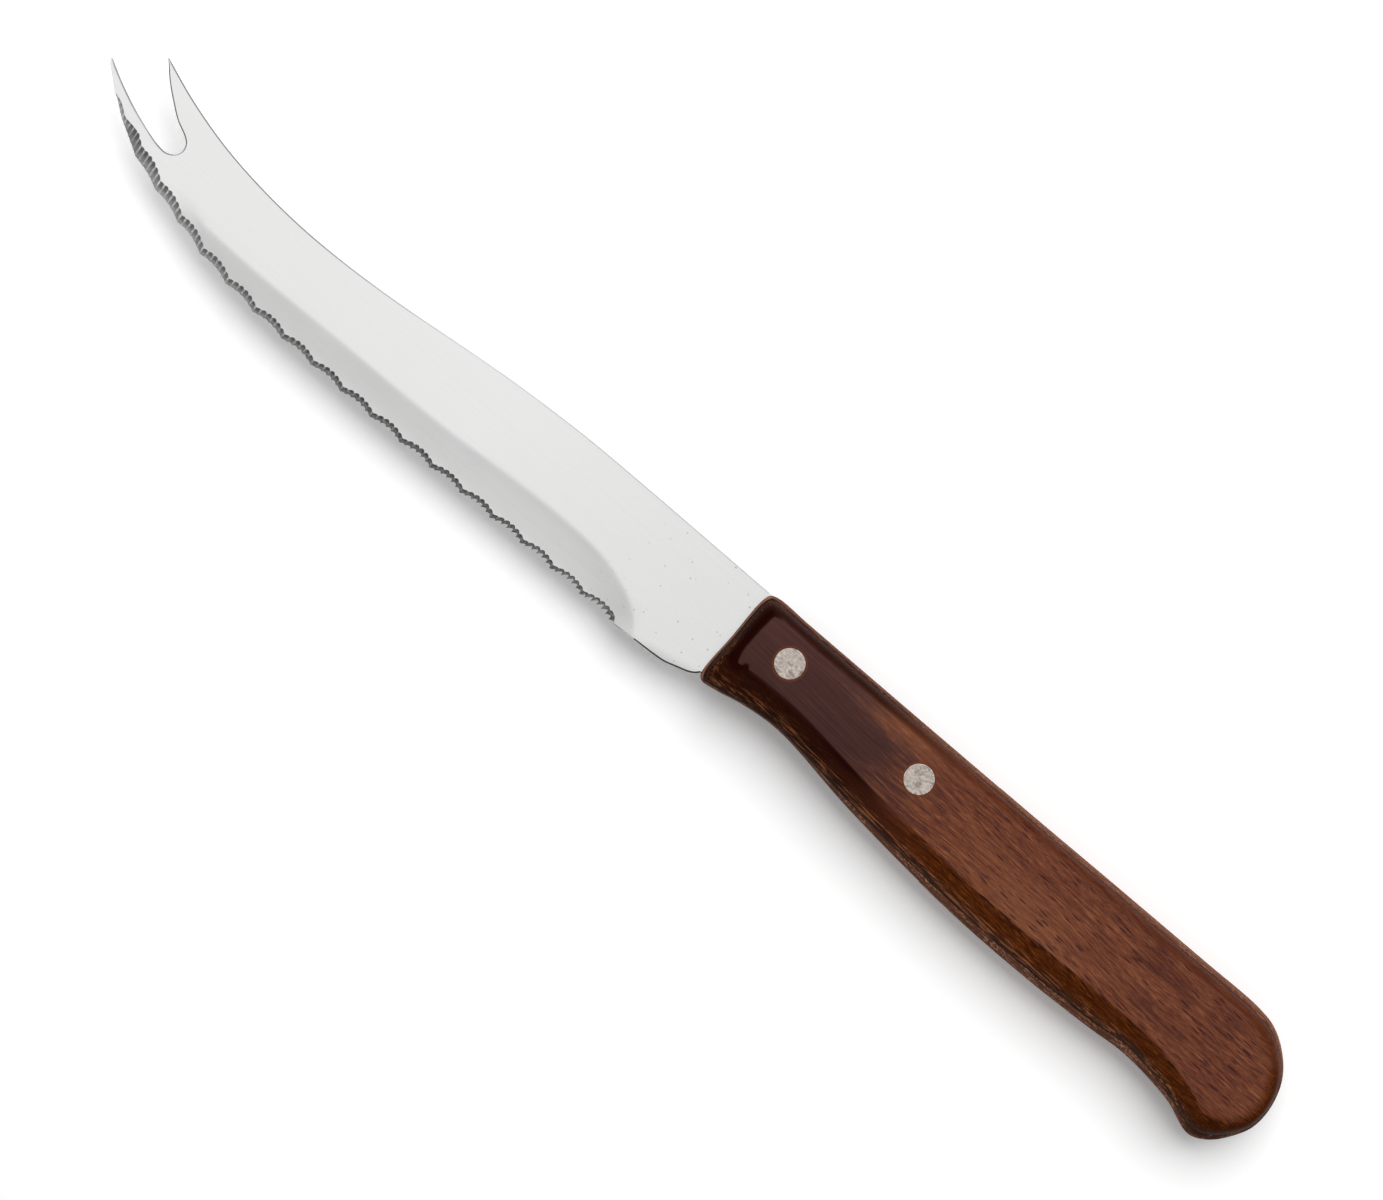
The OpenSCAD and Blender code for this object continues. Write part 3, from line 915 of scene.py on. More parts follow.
def cut_limits(plan, feet, inward, along):
    """The strip's reach, the room for the cut in it and how much of the cut is left by wear."""
    total = along[-1]
    left = total - along
    # The longer prong narrows past the end of the fork, and the strip with it
    narrowing, strip_width, share_of_prong, border = 25, 3.4, 0.78, 0.12
    width = np.full(len(along), FAR)
    rays = np.linspace(0.3, 6, 115)
    ring = np.vstack([plan.fork[::-1], plan.spine[::-1], plan.edge, plan.prong[::-1]])
    for i in np.flatnonzero(along > total - narrowing):
        out = np.flatnonzero(~inside(feet[i] + rays[:, None] * inward[i], ring))
        width[i] = rays[out[0]] if len(out) else FAR
    reach = np.minimum(strip_width, width * share_of_prong)
    # The grinding wheel came in at the heel on a round path, and left in steps at the tip
    entry = 3.3
    past_entry = along > entry
    wheel = (1 - (1 - np.minimum(along / entry, 1)) ** 2) ** 0.75
    ends = np.minimum(2.05 * wheel + 0.02 + 0.3 * past_entry, looked_up(TIP_REACH, left))
    ends = np.where(past_entry & (left > TIP_REACH[-1][0]), FAR, ends)
    return reach, np.minimum(ends, reach - border), looked_up(TIP_WEAR, left)


def serration_strip(plan, origin, material):
    """The strip along the edge, shaped by the tree, with its two plain end columns."""
    s = plan.settings
    total = lengths_along(plan.edge)[-1]
    per_flute = 8
    count = s.flutes * per_flute + 1
    along = np.linspace(0, total, count)
    feet = points_at(plan.edge, along)
    shares, leans = np.transpose(LEAN)
    lean = np.interp(along, shares * total, leans)
    inward = np.column_stack([lean, np.ones(count)]) / np.hypot(lean, 1)[:, None]
    reach, room, wear_and_shade = cut_limits(plan, feet, inward, along)
    columns = np.concatenate([[0], np.arange(count), [count - 1]])
    plain = np.zeros(len(columns), bool)
    plain[[0, -1]] = True
    heights = [
        plan.half_thickness(feet + width[:, None] * inward)[columns]
        for width in (reach * 0, reach / 2, reach)
    ]
    rows = len(LEVELS)
    places = np.zeros((rows, len(columns), 3))
    for row, level in enumerate(LEVELS):
        for j in (0, -1):
            column = columns[j]
            at_column = [float(height[j]) for height in heights]
            width, z = plain_section(level, s.rounding / MM, reach[column], at_column)
            flat = feet[column] + width * inward[column]
            places[row, j] = np.array((*flat, z)) * MM + np.array(origin)
    numbers = {
        "level": np.repeat(LEVELS, len(columns)),
        "kept": np.tile(plain.astype(float), rows),
        "wear_and_shade": np.tile(wear_and_shade[columns], rows),
    }
    for key, values in (("along", along), ("reach", reach), ("room", room)):
        numbers[key] = np.tile(values[columns] * MM, rows)
    for key, height in zip(("height_edge", "height_half", "height_border"), heights):
        numbers[key] = np.tile(height * MM, rows)
    feet3 = raised(feet[columns], 0) * MM + np.array(origin)
    inward3 = raised(inward[columns], 0)
    vectors = {"foot": np.tile(feet3, (rows, 1)), "inward": np.tile(inward3, (rows, 1))}
    faces = grid_faces(rows, len(columns))
    cage = cage_mesh("serration", places.reshape(-1, 3), faces, numbers, vectors)
    sizes = {
        "Scallop Pitch": s.scallop_pitch,
        "Scallop Start": s.scallop_start,
        "Scallop Depth": s.scallop_depth,
        "Flute Pitch": total / s.flutes * MM,
        "Notch At Heel": s.notch_heel,
        "Notch At Tip": s.notch_tip,
        "Arch": s.arch,
        "Slope": math.tan(s.cut_angle),
        "Edge Length": total * MM,
    }
    made = serration_shape(sizes).shaped(cage, sizes, material)
    # The strip's painted shade and light on the cut, as the tree stored it
    gleam = np.empty(len(made.vertices))
    made.attributes["gleam"].data.foreach_get("value", gleam)
    return points_of(made, origin), gleam, len(columns)


def plain_section(level, c, reach, heights):
    """A point of the uncut section at one end of the serration: distance inward and height."""

    def surface(width):
        return float(np.interp(width, [0, reach / 2, reach], heights))

    if level < 0:
        width = c + (reach - c) * -level
        return width, -surface(width)
    if level > 1:
        width = c + (reach - c) * (0.5 + 0.5 * (level - 1))
        return width, surface(width)
    low = heights[0]
    wall = [(c, -low), (0, -low + c), (0, low - c), (c, surface(c))]
    step = round(level * CUT_ROWS)
    if step < len(wall):
        return wall[step]
    last = len(wall) - 1
    width = c + (reach - c) * 0.5 * (step - last) / (CUT_ROWS - last)
    return width, surface(width)


def blade_outline(plan):
    """The outline from the strip's tip end round the prongs, the spine and the tang to the heel,
    with how much painted shade its broken edge gets."""
    steps = np.arange(len(plan.fork)) / (len(plan.fork) - 1)
    spine = plan.spine[::-1]
    parts = [
        (plan.prong[::-1], np.zeros(len(plan.prong))),
        (plan.fork[::-1], looked_up(FORK_EDGE_SHADE, steps)[::-1]),
        (spine, looked_up(SPINE_EDGE_SHADE, spine[:, 0])),
        (plan.tang, np.zeros(len(plan.tang))),
        (plan.heel, looked_up(HEEL_EDGE_SHADE, plan.heel[:, 0])),
    ]
    outline = np.vstack([line for line, _ in parts])
    dark = np.concatenate([values for _, values in parts])
    shortest = 0.02
    steps = np.linalg.norm(np.diff(outline, axis=0), axis=1)
    keep = np.concatenate([[True], steps > shortest])
    return outline[keep], dark[keep]


def broken_edge(plan, outline):
    """How wide the edge is broken along the outline: less at the points, more at the heel."""
    full = plan.settings.rounding / MM
    least = 0.3
    ends = (plan.prong[0], plan.fork[0])
    to_point = np.min([np.linalg.norm(outline - end, axis=1) for end in ends], axis=0)
    c = full * np.clip(least + to_point / 2, least, 1)
    prong = len(plan.prong)
    c[:prong] *= np.linspace(1, 0.15, prong) ** 0.5
    heel = (outline[:, 1] < -7.5) & (outline[:, 0] < 0)
    c *= 1 + 0.3 * heel * np.interp(outline[:, 0], [-12, -6], [0, 1])
    c[[0, -1]] = full
    return c


def face_spots(plan, outline, loop):
    """Points inside a face of the blade: a grid, and rows beside the grind's shoulder line."""
    spacing = 0.9
    grid = hex_grid(outline.min(0), outline.max(0), spacing)
    spots = inner_places(grid, loop, spacing / 2, every=3)
    line = plan.shoulder
    spots = spots[distance_to(spots, line) > np.where(plan.on_ground(spots), 1.5, 0.5)]
    down = -right_hand(line, closed=False)
    if down[len(down) // 2, 1] > 0:
        down = -down
    for offset in (-0.25, 0, 0.2, 0.4, 0.65, 0.95, 1.3):
        row = points_at(line + offset * down, np.arange(0, lengths_along(line)[-1], 0.6))
        spots = np.vstack([spots, inner_places(row, loop, 0.3)])
    clear = plan.settings.tang_hole / MM / 2 + 0.3
    for hole in plan.holes:
        spots = spots[np.linalg.norm(spots - hole.mean(0), axis=1) > clear]
    return spots


def make_blade(settings, handle, rivets, origin, material):
    """The blade and its tang in one piece."""
    plan = BladePlan(settings, handle, rivets)
    solid = Solid(("gleam",), ("cut", "edge"))
    strip, gleam, columns = serration_strip(plan, origin, material)
    rows = len(LEVELS)
    grid = strip.reshape(rows, columns, 3)
    cut = np.repeat([0 <= value < 1 for value in LEVELS[:-1]], columns - 1)
    solid.add(strip, grid_faces(rows, columns), gleam=gleam, cut=cut)

    outline, dark = blade_outline(plan)
    c = broken_edge(plan, outline)
    inset = outline - c[:, None] * outward(outline, closed=False)
    inset[0], inset[-1] = grid[FIRST_CUT, -1, :2], grid[FIRST_CUT, 0, :2]
    thick = plan.half_thickness(outline)
    thick_inset = plan.half_thickness(inset)
    rings = [
        raised(inset, -thick_inset),
        raised(outline, -thick + c),
        raised(outline, thick - c),
        raised(inset, thick_inset),
    ]
    for k, ring in enumerate(rings):
        ring[0], ring[-1] = grid[FIRST_CUT + k, -1], grid[FIRST_CUT + k, 0]
    # The broken edge's faces carry how much painted shade they get
    solid.add(np.vstack(rings), grid_faces(len(rings), len(outline)), edge=np.tile(dark[1:], 3))

    # The two faces. Each is bounded by the inset outline and by the strip's border and ends
    top = FIRST_CUT + len(rings) - 1
    low_loop = np.vstack([inset, grid[1, :1, :2], grid[0, :, :2], grid[1, -1:, :2]])
    top_loop = np.vstack(
        [inset, grid[top + 1 : -1, 0, :2], grid[-1, :, :2], grid[-2:top:-1, -1, :2]]
    )
    touching = 1e-4
    spots = face_spots(plan, outline, low_loop)
    low_border = [grid[0], grid[1, [0, -1]], rings[0]]
    top_border = [grid[-1], *(row[[0, -1]] for row in grid[top:]), rings[-1]]
    for loop, border, sign in ((low_loop, low_border, -1), (top_loop, top_border, 1)):
        keep = np.linalg.norm(loop - np.roll(loop, 1, axis=0), axis=1) > touching
        flat, triangles = fill([loop[keep], *plan.holes], spots)
        face = raised(flat, sign * plan.half_thickness(flat))
        solid.add(snapped(face, np.vstack(border)), triangles, flip=sign < 0)
    for hole in plan.holes:
        ends = np.vstack([raised(hole, z) for z in (-plan.face, plan.face)])
        solid.add(ends, grid_faces(2, len(hole), closed=True))
    return solid.mesh("blade_steel", origin, sharp_angle=math.radians(30))


def snapped(places, border):
    """The places, with the heights of the border's points where they meet it."""
    heights = {(round(x, 3), round(y, 3)): z for x, y, z in border}
    return [(x, y, heights.get((round(x, 3), round(y, 3)), z)) for x, y, z in places]


def handle_shape(sizes):
    """The tree that gives the handle's cage its round section: rim, crease, shoulder and flat."""
    shape = Shape("Handle Section", sizes)
    crease_height, lean, curve = (
        shape[name] for name in ("Crease Height", "Crease Angle", "Wall Curve")
    )
    outline, flat = (shape.stored(name, "FLOAT_VECTOR") for name in ("outline", "flat"))
    level = shape.stored("level")
    inputs = {"Vector": outline, "W": shape["Seed"], "Scale": 160.0, "Detail": 2.0}
    wander = shape.node("ShaderNodeTexNoise", inputs, noise_dimensions="4D")
    wander = Value(shape, wander.outputs[0]) - 0.5
    crease = shape.stored("crease") + wander * shape["Unevenness"]
    size = abs(level)
    wall = size.clamped()
    turn = lean + (math.pi / 2 - lean) * (size - 1.0).clamped()
    run = 1.0 - turn.math("COSINE") / lean.math("COSINE")
    low = lean.math("SINE")
    rise = (turn.math("SINE") - low) / (1.0 - low)
    part = crease * (wall * curve + wall * wall * (1.0 - curve)) + (1.0 - crease) * run
    way = shape.vector("SCALE", shape.vector("SUBTRACT", flat, outline), Scale=part)
    height = crease_height * wall + (shape["Half Thickness"] - crease_height) * rise
    upright = shape.joined(0.0, 0.0, height * level.math("SIGN"))
    shape.finish(shape.vector("ADD", shape.vector("ADD", outline, way), upright))
    return shape


def handle_ring(s, saw, saw_x):
    """The handle's ring of points, with one where the saw's arc comes out on either side."""
    ring = outline_ring(s, FINE)
    coarse = outline_ring(s, COARSE)
    ring[:, :2] = np.clip(ring[:, :2], coarse[:, :2].min(0), coarse[:, :2].max(0))
    for side in (1, -1):
        for i in range(len(ring)):
            a, b = ring[i], ring[(i + 1) % len(ring)]
            end = saw_x + math.sqrt(saw**2 - a[1] ** 2)
            if side * a[1] > 0 and min(a[0], b[0]) < end < max(a[0], b[0]):
                t = (end - a[0]) / (b[0] - a[0])
                ring = np.insert(ring, i + 1, a + (b - a) * t, axis=0)
                break
    return ring


def handle_skin(s, ring, levels, in_slot, origin, material):
    """The side wall and shoulder, shaped by the tree: the points, the faces, how far out each
    point lies."""
    count = len(ring)
    pad = np.zeros((count * len(levels), 1))
    vectors = {
        name: np.hstack([np.tile(points, (len(levels), 1)), pad]) * MM + np.array(origin)
        for name, points in (("outline", ring[:, :2]), ("flat", ring[:, 2:4]))
    }
    level = np.repeat(levels, count).astype(float)
    numbers = {"crease": np.tile(ring[:, 4] * s.crease_place, len(levels)), "level": level}
    middle = len(levels) // 2
    faces = []
    for index, face in enumerate(grid_faces(len(levels), count, closed=True)):
        row, column = divmod(index, count)
        through = row in (middle - 1, middle)
        if not (through and in_slot[column] and in_slot[(column + 1) % count]):
            faces.append(face)
    cage = cage_mesh("handle_cage", vectors["outline"], faces, numbers, vectors)
    sizes = {
        "Crease Height": s.crease_height,
        "Half Thickness": s.thickness / 2,
        "Crease Angle": s.crease_angle,
        "Wall Curve": s.wall_curve,
        "Unevenness": s.unevenness,
        "Seed": s.seed,
    }
    made = handle_shape(sizes).shaped(cage, sizes, material)
    return points_of(made, origin), faces, 2 - np.abs(level)


def flat_spots(flat_ring, loop, centres, bore):
    """Points inside a flat face: a grid, rows beside the border and rings round the bores."""
    grid = hex_grid(flat_ring.min(0), flat_ring.max(0), 2.2)
    spots = inner_places(grid, loop, 2.6)
    normals = outward(flat_ring)
    for offset in (0.25, 0.6, 1.1, 1.9):
        row = (loop - offset * normals)[:: 2 if offset < 1 else 4]
        spots = np.vstack([spots, inner_places(row, loop, offset * 0.93)])
    for centre in centres:
        spots = spots[np.linalg.norm(spots - centre, axis=1) > bore + 0.9]
        for grow in (0.25, 0.6):
            spots = np.vstack([spots, circle(centre, bore + grow, 48)])
    return spots


def make_handle(settings, rivets, origin, material):
    """The handle with its tang slot and its rivet holes."""
    s = settings
    half, slot, saw = s.thickness / MM / 2, s.slot_width / MM / 2, s.saw_radius / MM
    saw_x = s.slot_depth / MM - saw
    ring = handle_ring(s, saw, saw_x)
    upper = [slot / (s.crease_height / MM), *WALL_LEVELS, *SHOULDER_LEVELS]
    levels = [-v for v in reversed(upper)] + [0] + upper
    middle = len(upper)
    past_slot = ring[:, 0] - saw_x - np.sqrt(saw**2 - ring[:, 1] ** 2)
    skin, faces, rims = handle_skin(s, ring, levels, past_slot <= 0.02, origin, material)
    solid = Solid(("rim",))
    used = sorted({i for face in faces for i in face})
    renumber = {old: new for new, old in enumerate(used)}
    solid.add(skin[used], [tuple(renumber[i] for i in face) for face in faces], rim=rims[used])
    grid = skin.reshape(len(levels), len(ring), 3)

    bore = rivets.head / MM / 2 + rivets.gap / MM
    shank = rivets.shank / MM / 2 + rivets.gap / MM
    deep = half - rivets.head_depth / MM
    centres = [np.array(place) / MM for place in (rivets.front, rivets.rear)]
    loop = grid[-1, :, :2]
    spots = flat_spots(ring[:, 2:4], loop, centres, bore)
    closed = np.vstack([loop, loop[:1]])
    top_end, low_end = sorted(np.argsort(np.abs(past_slot))[:2])
    arc_points = 26
    for sign in (-1, 1):
        holes = [circle(centre, bore, SEGMENTS) for centre in centres]
        flat, triangles = fill([grid[min(sign, 0), :, :2], *holes], spots)
        rim = -np.minimum(distance_to(flat, closed), -INNER)
        solid.add(raised(flat, sign * half), triangles, sign < 0, rim=rim)
        for centre in centres:
            profile = ((bore, half), (bore, deep), (shank, deep), (shank, slot))
            rings = [raised(circle(centre, radius, SEGMENTS), sign * z) for radius, z in profile]
            walls = grid_faces(len(rings), SEGMENTS, closed=True)
            solid.add(np.vstack(rings), walls, sign > 0, rim=INNER)
        # The slot's flat side, from the front to the saw's arc
        row = grid[middle + sign, :, :2]
        ys = np.linspace(row[top_end, 1], row[low_end, 1], arc_points)
        arc = np.column_stack([saw_x + np.sqrt(saw**2 - ys**2), ys])
        arc[0], arc[-1] = row[top_end], row[low_end]
        border = np.vstack([row[low_end:], row[: top_end + 1], arc[1:-1]])
        holes = [circle(centre, shank, SEGMENTS) for centre in centres]
        flat, triangles = fill([border, *holes])
        solid.add(raised(flat, sign * slot), triangles, sign > 0, rim=INNER)
    # The saw's arc between the two sides of the slot
    arcs = []
    for step, z in ((-1, -slot), (0, 0), (1, slot)):
        arc[0], arc[-1] = grid[middle + step, [top_end, low_end], :2]
        arcs.append(raised(arc, z))
    solid.add(np.vstack(arcs), grid_faces(len(arcs), len(arc)), rim=INNER)
    return solid.mesh("handle_wood", origin, sharp_angle=math.radians(20))


def rivet_shape(sizes):
    """The tree that turns a rivet's cage into two flush heads on one shank."""
    shape = Shape("Rivet", sizes)
    around, reach, inner, depth, hollow, side = (
        shape.stored(name) for name in ("angle", "reach", "inner", "depth", "hollow", "side")
    )
    radius = reach * shape["Head Radius"] + inner * shape["Shank Radius"]
    sunk = shape["Half Length"] - shape["Head Depth"] * depth - shape["Dent"] * hollow
    x, y = (around.math(operation) * radius for operation in ("COSINE", "SINE"))
    shape.finish(shape.vector("ADD", shape["Centre"], shape.joined(x, y, sunk * side)))
    return shape


def make_rivets(settings, thickness, origin, material):
    """The rivets through the handle, from one profile of rows: each one's CAD node and mesh."""
    rows = [(*row, 1) for row in RIVET] + [(*row, -1) for row in reversed(RIVET)]
    columns = np.repeat(np.array(rows, float), SEGMENTS, axis=0)
    numbers = dict(zip(("reach", "inner", "depth", "hollow", "side"), columns.T))
    numbers["angle"] = np.tile(turns(SEGMENTS), len(rows))
    faces = grid_faces(len(rows), SEGMENTS, closed=True)
    sizes = {
        "Centre": origin,
        "Head Radius": settings.head / 2,
        "Head Depth": settings.head_depth,
        "Shank Radius": settings.shank / 2,
        "Half Length": thickness / 2,
        "Dent": settings.dent,
    }
    shape = rivet_shape(sizes)
    for node, place in (("rivet_front", settings.front), ("rivet_rear", settings.rear)):
        sizes["Centre"] = origin + Vector((*place, 0))
        cage = cage_mesh(node + "_metal", np.zeros((len(columns), 3)), faces, numbers)
        mesh = shape.shaped(cage, sizes, material)
        bm = bmesh.new()
        bm.from_mesh(mesh)
        yield node, write_closed(bm, mesh, sharp_angle=math.radians(35))


def steel_material(settings, origin):
    """Polished steel with faint lengthwise lines and smudges, painted shade on the broken edges,
    over the heel and low on the grind, and a coarse cut painted with shade and light.

    The attribute "cut" marks the serration's faces, "edge" says how much painted shade a broken
    edge gets and the third one how bright the cut is painted.
    """
    shader = Shader("Steel", origin)
    cut, edge, gleam = (shader.attribute(name) for name in ("cut", "edge", "gleam"))
    lines = shader.noise((45, 0.45, 4), 1.0)
    smudges = shader.noise((9, 5, 9), 2.0, 0.5)
    specks = shader.noise((0.35, 0.3, 0.3), 2.0)
    tone = (lines - 0.5) * 0.04 + (smudges - 0.5) * 0.05 + 1.0
    x, y, _ = shader.parts(shader.place)
    # Painted shade darkens the broken edges, and the blade is a little darker towards the handle
    tone = tone * (1.0 - edge * 0.93) * x.mapped(-50.0, -3.0, 1.0, 0.92)
    # Painted shade: a soft grey band along the heel's rounded edge
    tone = tone * (1.0 - (y - x * 0.2).rises(-7.0, -9.0) * x.rises(-13.0, -8.0) * 0.22)
    # Painted shade: the hollow grind darker low down towards the edge, away from the heel
    tone = tone * (1.0 - y.rises(-5.0, -8.5) * x.rises(-11.0, -16.0) * 0.1)
    near, chance = shader.grains((0.7, 0.6, 1.0))
    nicks = near.rises(0.3, 0.12) * chance.rises(0.88, 0.9) * x.rises(-32.0, -2.0)
    tone = tone * (1.0 - nicks * 0.45)
    clean = shader.vector("SCALE", tuple(settings.steel[:3]), Scale=tone)
    # The cut's colour: painted shade and light, with grainy specks
    grain_and_shade = gleam * ((specks - 0.5) * x.mapped(-120.0, -50.0, 0.9, 2.8) + 1.05)
    wear_and_shade = shader.vector("SCALE", tuple(settings.steel[:3]), Scale=grain_and_shade)
    shader.set(
        Base_Color=shader.mixed(cut, clean, wear_and_shade),
        Metallic=1.0,
        Roughness=(smudges - 0.5) * 0.1 + cut * 0.15 + 0.28,
    )
    shader.bump((specks - 0.5) * cut, 0.008 * MM, 0.5)
    return shader.material


def rivet_material(settings, origin):
    """Pale rivet metal, mottled with grey spots."""
    shader = Shader("Rivet Metal", origin)
    spots = shader.noise((1.2, 1.0, 1.0), 5.0, 0.68, shift=(4, 6, 2))
    fine = shader.noise((0.5, 0.4, 0.4), 4.0, 0.65, shift=(7, 3, 1))
    mask = spots.rises(0.46, 0.66)
    tone = (1.0 - mask * 0.45) * fine.mapped(0.32, 0.68, 0.66, 1.2)
    base = shader.vector("SCALE", tuple(settings.metal[:3]), Scale=tone)
    roughness = mask * 0.15 + (fine - 0.5) * 0.1 + 0.36
    shader.set(Base_Color=base, Metallic=1.0, Roughness=roughness)
    shader.bump(fine * 0.5 + spots, 0.02 * MM, 0.6)
    return shader.material


class Wood(Shader):
    """Laminated wood, laid down as one colour over another.

    The attribute "rim" is 0 on the flat face's border, 1 on the crease and up to 2 on the side
    wall. Inside the flat it is the distance from the border in millimetres, less than 0. The
    numbers with x and y are millimetres from the handle's front and from the knife's axis.
    """

    def __init__(self, settings, origin):
        super().__init__("Laminated Wood", origin)
        self.settings = settings
        x, y, z = self.parts(self.place)
        self.x, self.y, self.rim = x, y, self.attribute("rim")
        # The grain wanders a little and runs down towards the butt
        sway = self.noise((30, 9, 9), 2.0, shift=(2, 7, 1))
        self.place = self.joined(x, y + x * 0.045 + (sway - 0.5) * 2.6, z)
        self.streaks = self.noise((5, 0.36, 1.0), 5.0, 0.66)
        self.fibres = self.noise((1.9, 0.17, 0.5), 4.0, 0.66, shift=(3, 1, 0))
        self.pores = self.noise((2.1, 0.21, 0.4), 1.5, 0.4, shift=(5, 9, 4))
        self.flecks = self.noise((0.6, 0.3, 0.3), 3.0, 0.7)
        # The handle's zones: the low side, the front half, the high side and the round butt
        self.belly = (y + x * 0.02).rises(-1.0, -3.4)
        self.ahead = x.rises(44.0, 20.0)
        self.upper = y.rises(-1.0, 2.5)
        self.butt = x.rises(97.0, 104.0)

    def lay_face(self):
        """Red wood with light streaks, dark dashes and a dark front with a painted grey sheen.
        Gives the last two.
        """
        s, x, y, streaks, fibres = self.settings, self.x, self.y, self.streaks, self.fibres
        broad = self.noise((11, 3.0, 6), 2.0, 0.5, shift=(11, 5, 2))
        brush = self.noise((12, 0.12, 0.3), 3.0, 0.6, shift=(1, 3, 8))
        near, chance = self.grains((3.6, 0.4, 1.5), (2, 5, 1))
        self.laid = self.mixed(streaks.rises(0.38, 0.5), s.shade, s.red)
        self.lay(streaks.rises(0.52, 0.68) * 0.6, s.light)
        self.lay(fibres.rises(0.5, 0.7) * 0.5, s.light)
        self.lay(fibres.rises(0.48, 0.3) * 0.45, s.shade)
        warm = x.band(52.0, 70.0, 9.0) * y.rises(4.0, -3.0)
        self.lay(warm * 0.25, s.light)
        patch = (x + (streaks - 0.5) * 16.0).band(20.0, 34.0, 5.0) * y.rises(2.6, 5.0)
        self.lay(patch * 0.3, s.light)
        clouds = broad.rises(0.48, 0.64) * x.band(76.0, 100.0, 8.0)
        self.lay(clouds * 0.45, colour(60, 28, 26))
        dashes = near.rises(0.32, 0.18) * chance.rises(0.5, 0.6)
        dashes = (self.pores.rises(0.6, 0.68) * 0.55 + dashes).clamped()
        dashes = dashes * x.mapped(24.0, 62.0, 0.2, 1.0)
        self.lay(dashes * 0.92, s.dashes)

        # The dark front carries a painted grey sheen; its lines are darker towards the belly and
        # paler towards the spine's side
        far = x + (streaks - 0.5) * 24.0 + (broad - 0.5) * 16.0 + y.rises(2.5, 6.0) * 10.0
        front = far.rises(44.0, 26.0)
        lines = brush.mapped(0.3, 0.7, 0.62, 1.38) * y.mapped(-4.0, 2.5, 0.86, 1.0)
        lines = lines * y.mapped(2.5, 5.8, 1.0, 1.35)
        self.lay(front * 0.92, self.vector("SCALE", tuple(s.dark[:3]), Scale=lines))
        return dashes, front

    def lay_shoulder(self):
        """Painted shade on the shoulder, darker than the flat and golden brown along the belly and
        round the butt. Dark dashes and a dark band near the belly's crease, and painted glint
        streaks at the crease. Gives where.
        """
        x, y, rim, streaks, fibres = self.x, self.y, self.rim, self.streaks, self.fibres
        ahead, upper, belly, butt = self.ahead, self.upper, self.belly, self.butt
        shoulder = (rim + (streaks - 0.5) * 0.6 + (fibres - 0.5) * 0.5).rises(-0.3, 0.3)
        # Painted shade: the shoulder darker than the flat, darkest at the front
        sunk = self.mixed(ahead, colour(66, 26, 8), colour(37, 12, 5))
        bright = fibres.rises(0.5, 0.66) * ahead * (0.75 - upper * 0.5)
        sunk = self.mixed(bright, sunk, colour(70, 32, 13))
        sunk = self.mixed(fibres.rises(0.48, 0.34) * ahead * 0.6, sunk, colour(20, 6, 2))
        self.lay(shoulder * (ahead * 0.32 + 0.6), sunk)
        # Painted shade: golden brown along the belly's shoulder and round the butt's end, with
        # streaks in it
        ragged = rim + (streaks - 0.5) * 0.7
        golden = ragged.band(-0.2, 0.66, 0.14) * x.rises(32.0, 46.0) * belly
        round_end = (rim + (fibres - 0.5) * 1.2).rises(-1.5, 0.0) * butt * rim.rises(1.3, 1.0)
        golden = golden.math("MAXIMUM", round_end) * (1.0 - butt * y.rises(1.0, 5.0) * 0.75)
        self.lay(golden * 0.86, self.settings.gold)
        self.lay(golden * fibres.rises(0.5, 0.68) * 0.55, colour(128, 72, 26))
        self.lay(golden * fibres.rises(0.48, 0.34) * 0.6, colour(38, 15, 4))
        bitten = self.pores.rises(0.5, 0.6) * rim.band(-0.35, 0.2, 0.2)
        self.lay(bitten * x.rises(34.0, 44.0) * belly * 0.8, colour(26, 10, 5))
        self.lay(ragged.band(0.66, 0.95, 0.1) * belly * 0.75, colour(38, 20, 11))
        # Painted glint: pale streaks along the crease, fewer at the front and round the butt
        glint_streaks = self.noise((4.5, 0.3, 0.5), 5.0, 0.68, shift=(8, 2, 6))
        glint = glint_streaks.rises(0.5, 0.62) * (rim - upper * 0.5).band(0.5, 1.4, 0.15)
        glint = glint * (0.85 - 0.35 * ahead - 0.5 * ahead * upper) * (1.0 - butt * 0.7)
        self.lay(glint, colour(160, 98, 60))
        return shoulder

    def lay_wall(self):
        """The side wall: duller, with the layers' edges, pale fuzzy flecks, a dark line along the
        crease, painted sheen on the spine side and a painted highlight at the front. Gives where.
        """
        x, rim, flecks, ahead, upper = self.x, self.rim, self.flecks, self.ahead, self.upper
        wall = rim.rises(0.97, 1.05)
        clusters = self.noise((5, 2, 1.2), 2.0, 0.6, shift=(6, 1, 3)).rises(0.42, 0.58)
        layers = self.noise((16, 4, 0.3), 3.0, 0.6, shift=(2, 4, 9))
        dull = self.mixed(ahead * upper, self.settings.rim, colour(56, 25, 18))
        low_butt = self.butt * self.y.rises(4.5, 1.0)
        self.lay(wall * 0.8, self.mixed(low_butt, dull, colour(56, 27, 15)))
